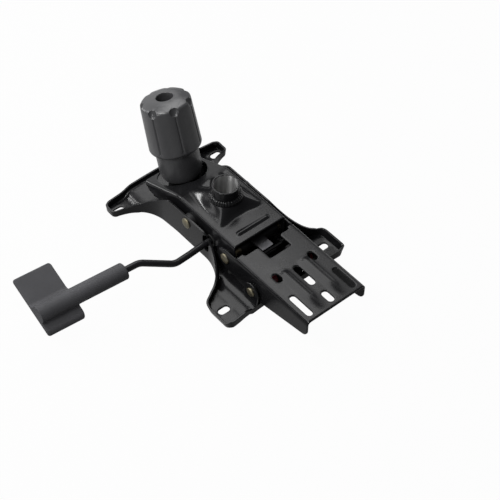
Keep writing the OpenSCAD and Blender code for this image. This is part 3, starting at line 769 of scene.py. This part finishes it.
def build_housing():
    ys = [HOUSING_REAR + (HOUSING_NOSE - HOUSING_REAR) * i / GRID_Y for i in range(GRID_Y + 1)]
    xs = [(HOUSING_X - EDGE_R) * (2 * j / GRID_X - 1) for j in range(GRID_X + 1)]
    boss = softened([[boss_height(x, y) for x in xs] for y in ys], PRESS_PASSES)
    heights = [[h + bead_height(x, y) for x, h in zip(xs, row)] for y, row in zip(ys, boss)]
    shape = Shape()
    grid_sheet(shape, [housing_row(y, xs, row) for y, row in zip(ys, heights)], SHEET)
    housing = make_object("pressed_housing", shape)
    socket_hole = [(SOCKET_R + SOCKET_CUT_GAP, z) for z in SOCKET_CUT_Z]
    neck_hole = [(NECK_OPENING, -NECK_CUT), (NECK_OPENING, NECK_CUT)]
    cut_out(housing, [turned(socket_hole, at_socket, 72), turned(neck_hole, at_knob, 96),
                      bar_cutter(*PIVOT_A, BUSH_BORE, -CUT_X, CUT_X),
                      bar_cutter(*PIVOT_B, BUSH_BORE, -CUT_X, CUT_X),
                      bar_cutter(LEVER_Y, LEVER_Z, GROMMET_BORE, -CUT_X, 0)], overlaps=True)
    finish_piece(housing, "housing", "powder_coat", "housing_shell")


# Gas lift socket and its weld

SOCKET_BORE, SOCKET_BORE_LOW, TAPER_FROM = 14.4, 13.5, 20
TUBE_EDGE, MOUTH_EDGE = 0.7, 0.8
# The bare bore lies just inside the tube, from this point of the tube's inside on
BARE_FROM, BARE_GAP, BARE_LIFT = 3, 0.05, 0.02
WELD_R, WELD_H, WELD_SINK, WELD_GAP = 20.4, 5.4, 1, 0.05
WELD_STEPS, RIPPLES = 288, 36
RIPPLE_DEPTH, RIPPLE_CHANGE, RIPPLE_SHIFT, WELD_WANDER = 0.08, 0.05, 1.5, 0.04


def build_socket():
    lip = arc((SOCKET_R - TUBE_EDGE, SOCKET_TOP - TUBE_EDGE), TUBE_EDGE, 0, 90, 4)
    mouth = arc((SOCKET_BORE + MOUTH_EDGE, SOCKET_TOP - MOUTH_EDGE), MOUTH_EDGE, 90, 180, 4)
    inside = mouth + [(SOCKET_BORE, SOCKET_TOP - TAPER_FROM), (SOCKET_BORE_LOW, SOCKET_LOW)]
    tube = turned([(SOCKET_R, SOCKET_LOW)] + lip + inside, at_socket, 96, hollow=True)
    finish_piece(make_object("socket_tube", tube), "housing", "powder_coat", "gas_socket")
    bore = Shape()
    bore.lathe([(r - BARE_GAP, z + BARE_LIFT) for r, z in inside[BARE_FROM:]], at_socket, 96)
    finish_piece(make_object("socket_bore", bore), "housing", "zinc_grey", look="bright_steel")


def weld_swell(t):
    """Size of the weld at an angle: ripples of changing depth, and a slow wander."""
    ripple = 0.5 + 0.5 * cos(RIPPLES * t + RIPPLE_SHIFT * sin(5 * t))
    depth = RIPPLE_DEPTH + RIPPLE_CHANGE * sin(2 * t)
    return 1 - depth * ripple - WELD_WANDER * sin(3 * t + 1)


def build_weld():
    """The weld bead round the foot of the socket, in small overlapping ripples."""
    bead = Shape()
    rings = []
    foot, inner = HOUSING_TOP + BOSS_H, SOCKET_R - WELD_GAP
    for i in range(WELD_STEPS):
        t = 2 * pi * i / WELD_STEPS
        swell = weld_swell(t)
        reach, height = (WELD_R - SOCKET_R) * swell, WELD_H * swell
        ring = [(inner, foot - WELD_SINK), (SOCKET_R + reach, foot - WELD_SINK)]
        ring += [(SOCKET_R + reach * cos(a), foot + height * sin(a)) for a in quarter(6)[:-1]]
        ring.append((inner, foot + height))
        rings.append(bead.add([at_socket(r * cos(t), r * sin(t), h) for r, h in ring]))
    bead.skin(rings + rings[:1])
    finish_piece(make_object("weld_bead", bead, sharp=60), "housing", "powder_coat", "weld_collar")


# Back bracket

BRACKET_X, BRACKET_TOP, BRACKET_BEND = 43, 52, 5.5
BRACKET_FRONT, BRACKET_STEP, BRACKET_REAR = -82.2, -85.8, -202.5
BEND_FLAT = BRACKET_X - BRACKET_BEND
BEND_LENGTH = BRACKET_BEND * pi / 2
RIB_X, RIB_W, RIB_H, RIB_FRONT, RIB_REAR, RIB_FADE = 15.5, 8.5, 2.1, -127, -200, 27
NOTCH_LEFT, NOTCH_RIGHT, NOTCH_DEEP, NOTCH_R, LIP_R = -12.8, 18.6, -106.5, 2, 3
# The front edge steps forward between two x, and ends at a height in the bend
STEP_X, TAB_X, TAB_END = 32, 33.6, 50
# Edge of a flange as (y, z): a point before the round ear, the edge behind it and the rear corner
EAR_TIP, EAR_R, EAR_ARC = (-78.2, 49), 14, (95, -85)
FLANGE_EDGE = [(-86, 17.5), (-100, 15), (PIVOT_C[0], 13.5), (-124, 14), (-133, 15.5)]
CORNER_R, CORNER_Z = 9, 36.5
# Slots of the plate as (x, y, half width, half length)
BRACKET_SLOTS = [(-31.5, -179.5, 4, 17), (31.5, -179.5, 4, 17),
                 (-26, -133.5, 4.25, 6.75), (26, -133.5, 4.25, 6.75),
                 (0, -149, 4.25, 16.5), (0, -188, 4.25, 8.5)]
BRACKET_SPACING = 1.9


def rib_height(x, y):
    """A rib fades out slowly at its rear end and quickly at its front."""
    sideways = 1 - step(0, RIB_W, abs(abs(x) - RIB_X))
    lengthwise = step(RIB_REAR, RIB_REAR + RIB_FADE, y) * (1 - step(RIB_FRONT - RIB_W, RIB_FRONT, y))
    return RIB_H * sideways * lengthwise


def at_bracket(u, y, depth):
    """From the flat blank, u across it, to the bent bracket."""
    side = copysign(1, u)
    a = abs(u)
    if a <= BEND_FLAT:
        return (u, y, BRACKET_TOP - depth + rib_height(u, y))
    turn = min((a - BEND_FLAT) / BRACKET_BEND, pi / 2)
    r = BRACKET_BEND - depth
    drop = max(a - BEND_FLAT - BEND_LENGTH, 0)
    z = BRACKET_TOP - BRACKET_BEND + r * cos(turn) - drop
    return (side * (BEND_FLAT + r * sin(turn)), y, z)


def blank_u(z):
    """Place on the flat blank of a height on the outside of a flange."""
    flange_top = BRACKET_TOP - BRACKET_BEND
    if z <= flange_top:
        return BEND_FLAT + BEND_LENGTH + flange_top - z
    return BEND_FLAT + BRACKET_BEND * acos((z - flange_top) / BRACKET_BEND)


def bracket_side():
    """Flange edge on the blank, front to rear, as (u, y)."""
    side = [EAR_TIP] + arc(PIVOT_B, EAR_R, *EAR_ARC, 20) + FLANGE_EDGE
    side += arc((BRACKET_REAR + CORNER_R, CORNER_Z), CORNER_R, 255, 180, 8)
    return [(blank_u(z), y) for y, z in side]


def notch_side(x):
    """The notch's side at a positive x, from its floor out to the front edge."""
    return (arc((x - NOTCH_R, NOTCH_DEEP + NOTCH_R), NOTCH_R, 270, 360, 4)
            + arc((x + LIP_R, BRACKET_STEP - LIP_R), LIP_R, 180, 90, 4))


def bracket_outline():
    """Clockwise from the notch: front edge and flange on the right, rear edge, then the left side."""
    half = [(STEP_X, BRACKET_STEP), (TAB_X, BRACKET_FRONT), (blank_u(TAB_END), BRACKET_FRONT)]
    half += bracket_side()
    left = list(reversed(mirrored(half))) + list(reversed(mirrored(notch_side(-NOTCH_LEFT))))
    return notch_side(NOTCH_RIGHT) + half + left


def build_bracket():
    holes = [slot_loop(*slot) for slot in BRACKET_SLOTS]
    for side in (-1, 1):
        for (y, z), radius in ((PIVOT_B, PIVOT_BORE), (PIVOT_C, LINK_BORE)):
            holes.append(arc((side * blank_u(z), y), radius, 0, 345, 23))
    shape = Shape()
    cut_sheet(shape, list(reversed(bracket_outline())), holes, BRACKET_SPACING, at_bracket, SHEET)
    finish_piece(make_object("bent_bracket", shape), "back", "powder_coat", "back_bracket")


# Tension knob; heights are along its axis

KNOB_TOP, KNOB_CROWN, KNOB_R, KNOB_TOP_R, KNOB_EDGE = 102, 105.2, 32, 30.5, 5
NECK_R, NECK_LOW, NECK_WALL = 26, -1, 4.5
# The neck widens from its foot up to a height
FOOT_IN, FOOT_TO = 3, 7
SHOULDER, SHOULDER_H = 36.5, 5.5
KNOB_HOLE, HOLE_EDGE, NUT_R, NUT_LOW, NUT_TOP = 10.3, 0.8, 8, 62, 70
# The body's rings lie close together above the shoulder, where the grooves begin
FINE_STEP, FINE_TO, BODY_STEPS = 0.6, 6, 16
LOBES = 7
KNOB_TURN = radians(99.4)
GROOVE_W, GROOVE_D, GROOVE_LOW, GROOVE_FADE = 1, 1.2, 44.5, 0.6
DIMPLE_R, DIMPLE_D = 1.6, 1.2
PANEL_D = 0.3
SCOOP_W, SCOOP_IN, SCOOP_H, SCOOP_OUT = 6.2, 5.2, 10, 0.6
# Steps of a half lobe round the knob, in millimetres from its groove, and the half lobe's width
LOBE_STEPS = [0, 0.35, 0.7, 1.05, 1.4, 1.8, 2.3, 3, 4, 5.4, 7.2, 9.2, 11.2, 13.2]
HALF_LOBE = 14.1


def knob_profile():
    """(radius, height) of the knob's outside, from the neck's foot to the hole, and back inside."""
    neck = [(NECK_R - FOOT_IN, NECK_LOW), (NECK_R, FOOT_TO)]
    shoulder = [(NECK_R + (KNOB_R - NECK_R) * sin(a), SHOULDER + SHOULDER_H * (1 - cos(a)))
                for a in quarter(8)]
    low, high = SHOULDER + SHOULDER_H, KNOB_TOP - KNOB_EDGE
    heights = [low + FINE_STEP * k for k in range(1, 10)]
    heights += [low + FINE_TO + (high - low - FINE_TO) * k / BODY_STEPS for k in range(BODY_STEPS)]
    body = [(KNOB_R + (KNOB_TOP_R - KNOB_R) * (h - low) / (high - low), h) for h in heights]
    edge = arc((KNOB_TOP_R - KNOB_EDGE, high), KNOB_EDGE, 0, 80, 8)
    (r, h), hole_r = edge[-1], KNOB_HOLE + HOLE_EDGE
    crown = [(r + (hole_r - r) * t, h + (KNOB_CROWN - h) * t * (2 - t)) for t in (0.2, 0.4, 0.6, 0.8)]
    mouth = arc((hole_r, KNOB_CROWN - HOLE_EDGE), HOLE_EDGE, 90, 180, 4)
    neck_r = NECK_R - NECK_WALL
    inside = [(KNOB_HOLE, NUT_TOP), (NUT_R, NUT_TOP), (NUT_R, NUT_LOW), (neck_r, NUT_LOW), (neck_r, NECK_LOW)]
    return neck + shoulder + body + edge + crown + mouth + inside


def knob_cut(off, s):
    """How far the surface lies in, off a groove's middle; the panels between are a little flat."""
    fade = step(GROOVE_LOW - GROOVE_FADE, GROOVE_LOW + GROOVE_FADE, s)
    groove = GROOVE_D * exp(-(off / GROOVE_W) ** 2) * fade
    dimple = DIMPLE_D * exp(-(off ** 2 + (s - GROOVE_LOW) ** 2) / DIMPLE_R ** 2)
    panel = PANEL_D * (off / LOBE_STEPS[-1]) ** 2
    return max(groove, dimple) + panel * step(SHOULDER, GROOVE_LOW, s)


def scoop_cutter(turn):
    """An egg that takes a finger scoop out of the knob's top edge."""
    c, s = cos(turn), sin(turn)

    def place(a, b, h):
        out = KNOB_TOP_R + SCOOP_OUT + b * SCOOP_IN
        return at_knob(out * c - a * SCOOP_W * s, out * s + a * SCOOP_W * c, KNOB_TOP + h * SCOOP_H)

    angles = [pi * k / 20 for k in range(1, 20)]
    return turned([(sin(a), -cos(a)) for a in angles], place, 32)


def build_knob():
    shape = Shape()
    lobe = 2 * pi / LOBES
    offs = [-d for d in reversed(LOBE_STEPS[1:])] + LOBE_STEPS
    share = lobe / 2 / HALF_LOBE
    rings = []
    for r, s in knob_profile():
        outside = r > KNOB_TOP_R - KNOB_EDGE and s > SHOULDER
        ring = []
        for i in range(LOBES):
            for off in offs:
                a = KNOB_TURN + i * lobe + off * share
                out = r - knob_cut(off, s) if outside else r
                ring.append(at_knob(out * cos(a), out * sin(a), s))
        rings.append(shape.add(ring))
    shape.skin(rings + rings[:1])
    knob = make_object("fluted_knob", shape, sharp=50)
    cut_out(knob, [scoop_cutter(KNOB_TURN + i * lobe) for i in range(LOBES)], sharp=40)
    finish_piece(knob, "knob", "knob_plastic", "tension_knob")


# Tension spring, in two lengths: the housing's tilt presses the lower one, the knob the upper one

SPRING_R, WIRE_R, SPRING_PITCH, COIL_STEPS = 17, 2.4, 9.225, 32
SPRING_FOOT, SPRING_TOP = -19.4, 59.2
LOWER_TO, UPPER_FROM = -0.8, 0.6


def spring_length(name, low, high):
    """A stretch of the coil that reaches from one height to another."""
    shape = Shape()
    rise = high - low - 2 * WIRE_R
    count = round(COIL_STEPS * rise / SPRING_PITCH)
    rings = []
    for i in range(count + 1):
        s = low + WIRE_R + rise * i / count
        turn = 2 * pi * (s - SPRING_FOOT - WIRE_R) / SPRING_PITCH
        wire = [(SPRING_R + r, s + h) for r, h in arc((0, 0), WIRE_R, 0, 330, 11)]
        rings.append(shape.add([at_knob(r * cos(turn), r * sin(turn), h) for r, h in wire]))
    shape.loft(rings)
    return make_object(name, shape)


def press_length(obj):
    """Gives a stretch of the spring a mesh of its own."""
    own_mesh(obj)


def build_spring():
    lower = spring_length("spring_foot", SPRING_FOOT, LOWER_TO)
    upper = spring_length("coil_spring", UPPER_FROM, SPRING_TOP)
    # Both lengths are drawn in the near-black painted shade instead of their spring steel, as they lie in
    # shade inside the housing
    finish_piece(lower, "housing", "spring_steel", "tension_spring", look="inner_black")
    finish_piece(upper, "seat", "spring_steel", look="inner_black")
    press_length(lower)
    press_length(upper)


# Lever

PADDLE_TILT = radians(27)
ROD_R, ROD_FILLET, CRANK, BEND_1, BEND_2 = 4, 18, 21.4, 92, 126.5
# The rod's points before its bends and after them, and where it dips to the rear and comes back
ROD_START, ROD_END = (-4, 20, 50, 70), (160, 251)
ROD_DIP, DIP_BEGIN, DIP_END = 1.8, (44, 84), (115, 147)
GRIP_FROM, GRIP_R, GRIP_SKEW, GRIP_EDGE = 147, 10.3, 0.065, 1.6
PADDLE_FROM, PADDLE_TO, PADDLE_REAR, PADDLE_FRONT, PADDLE_T = 211.5, 258.5, 25.5, 48.5, 3.6
TUBE_OVERLAP = 20
PADDLE_CORNER, PADDLE_FILLET, END_EDGE, LOW_EDGE, TOP_EDGE = 3, 6, 0.4, 1.2, 1.6
LIP_H, LIP_VALLEY = 6.5, 2.5


def at_lever(out, forward, up):
    """From the lever's own frame, out along the rod, to the part's."""
    c, s = cos(PADDLE_TILT), sin(PADDLE_TILT)
    return (-out, LEVER_Y + forward * c - up * s, LEVER_Z + forward * s + up * c)


def rod_path():
    """Middle line of the rod as (out, forward)."""
    turn = atan2(CRANK, BEND_2 - BEND_1)
    angle = degrees(turn)
    tangent = ROD_FILLET * tan(turn / 2)
    path = ([(x, 0) for x in ROD_START]
            + arc((BEND_1 - tangent, ROD_FILLET), ROD_FILLET, -90, -90 + angle, 8)
            + arc((BEND_2 + tangent, CRANK - ROD_FILLET), ROD_FILLET, 90 + angle, 90, 8)
            + [(x, CRANK + GRIP_SKEW * (x - GRIP_FROM)) for x in ROD_END])
    return [(x, y - ROD_DIP * step(*DIP_BEGIN, x) * (1 - step(*DIP_END, x))) for x, y in path]


def build_rod():
    path = rod_path()
    shape = Shape()
    circle = arc((0, 0), ROD_R, 0, 348.75, 31)
    rings = []
    for i, (out, forward) in enumerate(path):
        way = (Vector(path[min(i + 1, len(path) - 1)]) - Vector(path[max(i - 1, 0)])).normalized()
        rings.append(shape.add([at_lever(out - way.y * a, forward + way.x * a, up) for a, up in circle]))
    shape.loft(rings)
    finish_piece(make_object("bent_rod", shape), "lever", "lever_black", "lever_rod")


def at_grip(out, forward, up):
    """From the grip's own frame, which points a little forward of the rod's, to the part's."""
    return at_lever(out, CRANK + forward + GRIP_SKEW * (out - GRIP_FROM), up)


def paddle_section(less):
    """Section across the grip as (forward, up), counter-clockwise: plate, tube on it, rolled lip."""
    low, top = -GRIP_R, PADDLE_T - GRIP_R
    front, rear = PADDLE_FRONT - less, PADDLE_REAR - less
    tip = arc((front - LOW_EDGE, low + LOW_EDGE), LOW_EDGE, 270, 360, 4)
    tip += arc((front - TOP_EDGE, top - TOP_EDGE), TOP_EDGE, 0, 90, 4)
    reach = sqrt((GRIP_R + PADDLE_FILLET) ** 2 - (top + PADDLE_FILLET) ** 2)
    foot = degrees(atan2(top + PADDLE_FILLET, reach))
    blend = arc((reach, top + PADDLE_FILLET), PADDLE_FILLET, 270, 180 + foot, 8)
    crest = low + LIP_H
    valley = sqrt((GRIP_R + LIP_VALLEY) ** 2 - (crest + LIP_VALLEY) ** 2)
    back = degrees(atan2(-(crest + LIP_VALLEY), valley))
    tube = arc((0, 0), GRIP_R, foot, 180 + back, 20)
    hollow = arc((-valley, crest + LIP_VALLEY), LIP_VALLEY, back, -90, 6)
    roll = arc((LIP_H - rear, low), LIP_H, 90, 180, 8)
    return tip + blend + tube + hollow + roll


def grip_tube():
    """The round part of the grip, which runs on into the paddle."""
    mouth = GRIP_R - GRIP_EDGE
    profile = [(ROD_R, GRIP_FROM), (mouth, GRIP_FROM)]
    profile += [(mouth + GRIP_EDGE * sin(a), GRIP_FROM + GRIP_EDGE * (1 - cos(a)))
                for a in quarter(4)[1:]]
    profile += [(GRIP_R, PADDLE_FROM + TUBE_OVERLAP), (ROD_R, PADDLE_FROM + TUBE_OVERLAP)]
    return turned(profile, lambda a, b, h: at_grip(h, a, b), 64, hollow=True)


def build_grip():
    shape = grip_tube()
    r = PADDLE_CORNER
    rounding = [(r * (1 - cos(a)), r * (1 - sin(a))) for a in quarter(6)]
    end = moved_in(paddle_section(r), END_EDGE)
    sections = [(PADDLE_FROM, end)]
    sections += [(PADDLE_FROM + d, paddle_section(less)) for d, less in rounding]
    sections += [(PADDLE_TO - d, paddle_section(less)) for d, less in reversed(rounding)]
    sections.append((PADDLE_TO, end))
    rings = [shape.add([at_grip(out, f, up) for f, up in section]) for out, section in sections]
    shape.loft(rings)
    grip = make_object("moulded_grip", shape)
    finish_piece(grip, "lever", "knob_plastic", "lever_grip", look="grip_plastic")


# Pivot shafts: piece, axis, radius, head radius, x of the head and the far end, body, CAD node
SHAFTS = [("front_pivot", PIVOT_A, 5, 6.7, -46, 49.5, "seat", "front_pivot_shaft"),
          ("rear_pivot", PIVOT_B, 5, 6.7, -43, 46, "back", "back_pivot_shaft"),
          ("link_pivot", PIVOT_C, 4, 5.7, -47.5, 50.5, "back", "link_shaft")]
HEAD_T, DOME_H, SHAFT_EDGE = 2.5, 1.6, 0.6
# The spacer on the rear shaft and the roller on the link, seen through gaps and slots:
# piece, axis, inner and outer radius, x of both ends, broken edge, sides, slot and look
SLEEVES = [("rear_sleeve", PIVOT_B, 5.02, 5.5, -22, 33, 0.3, 48, "nylon", "nylon"),
           # The link roller is drawn in the near-black painted shade instead of its rubber, as it lies in
           # shade under the bracket
           ("link_roller", PIVOT_C, 6.05, 11.4, -12, 34, 0.5, 64, "rubber", "inner_black")]


def build_shaft(name, axis, radius, head_r, head_x, far_x, body, node):
    """A turned shaft with a domed head at its left end and a broken edge at the other."""
    profile = [(head_r * sin(a), head_x - HEAD_T + DOME_H * (1 - cos(a))) for a in quarter(8)[1:]]
    profile += [(head_r, head_x), (radius, head_x)]
    profile += [(radius, far_x - SHAFT_EDGE), (radius - SHAFT_EDGE, far_x)]
    finish_piece(make_object(name, turned(profile, across(*axis), 48)), body, "zinc_olive", node)


def build_sleeve(name, axis, inner, outer, x0, x1, edge, sides, slot, look):
    """A tube along X with broken outer edges."""
    profile = [(inner, x0), (outer - edge, x0), (outer, x0 + edge),
               (outer, x1 - edge), (outer - edge, x1), (inner, x1)]
    tube = turned(profile, across(*axis), sides, hollow=True)
    finish_piece(make_object(name, tube), "back", slot, look=look)


# Lamps as (place, size, power), all aimed at the part's middle
LAMPS = {
    "overhead": ((-0.05, 0.42, 0.95), (1.2, 0.5), 10),
    "overhead_right": ((0.76, 0.42, 0.94), (0.42, 0.5), 1.2),
    "top_left": ((-0.68, -0.03, 0.98), (0.34, 0.16), 7),
    "left_low": ((-1.18, -0.26, 0.44), (0.22, 0.16), 2.8),
    "front_left": ((-0.46, 1.16, 0.18), (0.3, 0.2), 1.8),
    "left": ((-0.98, 0.68, 0.58), (0.35, 0.3), 2),
    "left_spot": ((-0.60, 0.93, 0.78), (0.17, 0.17), 6),
    "right": ((1.25, 0.1, 0.35), (0.9, 0.5), 3),
    "front_high": ((0.50, 0.83, 0.83), (0.5, 0.18), 1.5),
    "front": ((0.1, 1.3, 0.55), (1.5, 1), 4.2),
}
MIDDLE = Vector((0, 0, 0.06))


def add_lamp(name, place, size, power):
    lamp = bpy.data.lights.new(name, "AREA")
    lamp.shape = "RECTANGLE"
    lamp.size, lamp.size_y = size
    lamp.energy = power
    obj = add_object(name, lamp)
    obj.location = place
    obj.rotation_euler = (MIDDLE - obj.location).to_track_quat("-Z", "Y").to_euler()


def math_node(tree, operation, first, second):
    return add_node(tree, "ShaderNodeMath", {0: first, 1: second}, operation=operation).outputs[0]


def white_when_seen(tree, surface, seen, mirror):
    """Mixes white emission into a surface for the camera, and a share of it for mirror and glass rays."""
    rays = add_node(tree, "ShaderNodeLightPath").outputs
    direct = math_node(tree, "MULTIPLY", rays["Is Camera Ray"], seen)
    either = math_node(tree, "MAXIMUM", rays["Is Glossy Ray"], rays["Is Transmission Ray"])
    amount = math_node(tree, "MAXIMUM", direct, math_node(tree, "MULTIPLY", either, mirror))
    white = add_node(tree, "ShaderNodeEmission", {"Color": (1, 1, 1, 1), "Strength": 1})
    mix = add_node(tree, "ShaderNodeMixShader", {"Fac": amount, 1: surface, 2: white.outputs[0]})
    return mix.outputs[0]


FLOOR_HALF = 6
FLOOR_TONES = [(0.3, (0.27, 0.27, 0.27)), (0.7, (0.29, 0.29, 0.29))]


def add_floor():
    material, tree, shader = new_material("floor")
    ramp_colour(tree, shader, surface_noise(tree, scale=3, detail=4), FLOOR_TONES)
    set_inputs(shader, {"Roughness": 0.9, "Specular IOR Level": 0.1})
    surface = white_when_seen(tree, shader.outputs[0], seen=0.97, mirror=0.15)
    set_inputs(tree.nodes["Material Output"], {"Surface": surface})
    mesh = bpy.data.meshes.new("floor")
    corners = [(x * FLOOR_HALF, y * FLOOR_HALF, 0) for x, y in ((-1, -1), (1, -1), (1, 1), (-1, 1))]
    mesh.from_pydata(corners, [], [(0, 1, 2, 3)])
    mesh.materials.append(material)
    floor = add_object("floor", mesh)


def add_world():
    world = bpy.data.worlds.new("studio")
    world.use_nodes = True
    set_inputs(world.node_tree.nodes["Background"], {"Color": (0.95, 0.97, 1, 1), "Strength": 0.14})
    bpy.context.scene.world = world


# The camera that was fitted to the photo
CAMERA_AZIMUTH = radians(-39.736)
CAMERA_ELEVATION = radians(47.945)
CAMERA_ROLL = radians(0.2)
CAMERA_PLACE = (-0.6731, -0.8377, 1.1816)
CAMERA_LENS, CAMERA_SENSOR, CAMERA_SHIFT = 96.30, 36, (0.031, -0.030)


def add_camera():
    turn = (Matrix.Rotation(CAMERA_AZIMUTH, 4, "Z") @ Matrix.Rotation(pi / 2 - CAMERA_ELEVATION, 4, "X")
            @ Matrix.Rotation(CAMERA_ROLL, 4, "Z"))
    lens = bpy.data.cameras.new("camera")
    lens.sensor_width = CAMERA_SENSOR
    lens.lens = CAMERA_LENS
    lens.shift_x, lens.shift_y = CAMERA_SHIFT
    camera = add_object("camera", lens)
    camera.matrix_world = Matrix.Translation(CAMERA_PLACE) @ turn
    bpy.context.scene.camera = camera


# Inner plates that lie in shade; they are drawn in the near-black painted shade
PLATES_IN_SHADE = ("lock_catch", "lock_guide", "lever_shelf", "spring_bridge", "bolt_anchor")


def dress_frame():
    """Puts the procedural material of its slot on each CAD node, and the near-black painted shade on the
    inner plates, which lie in shade inside the mechanism.
    """
    for name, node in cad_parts.items():
        for slot in node.material_slots:
            slot.material = MATERIALS["inner_black" if name in PLATES_IN_SHADE else slot.material.name]


dress_frame()
build_seat_plate()
build_housing()
build_socket()
build_weld()
build_bracket()
build_knob()
build_spring()
build_rod()
build_grip()
for shaft in SHAFTS:
    build_shaft(*shaft)
for sleeve in SLEEVES:
    build_sleeve(*sleeve)
add_floor()
add_world()
for lamp_name, lamp_values in LAMPS.items():
    add_lamp(lamp_name, *lamp_values)
add_camera()
bpy.context.scene.view_settings.view_transform = "Standard"
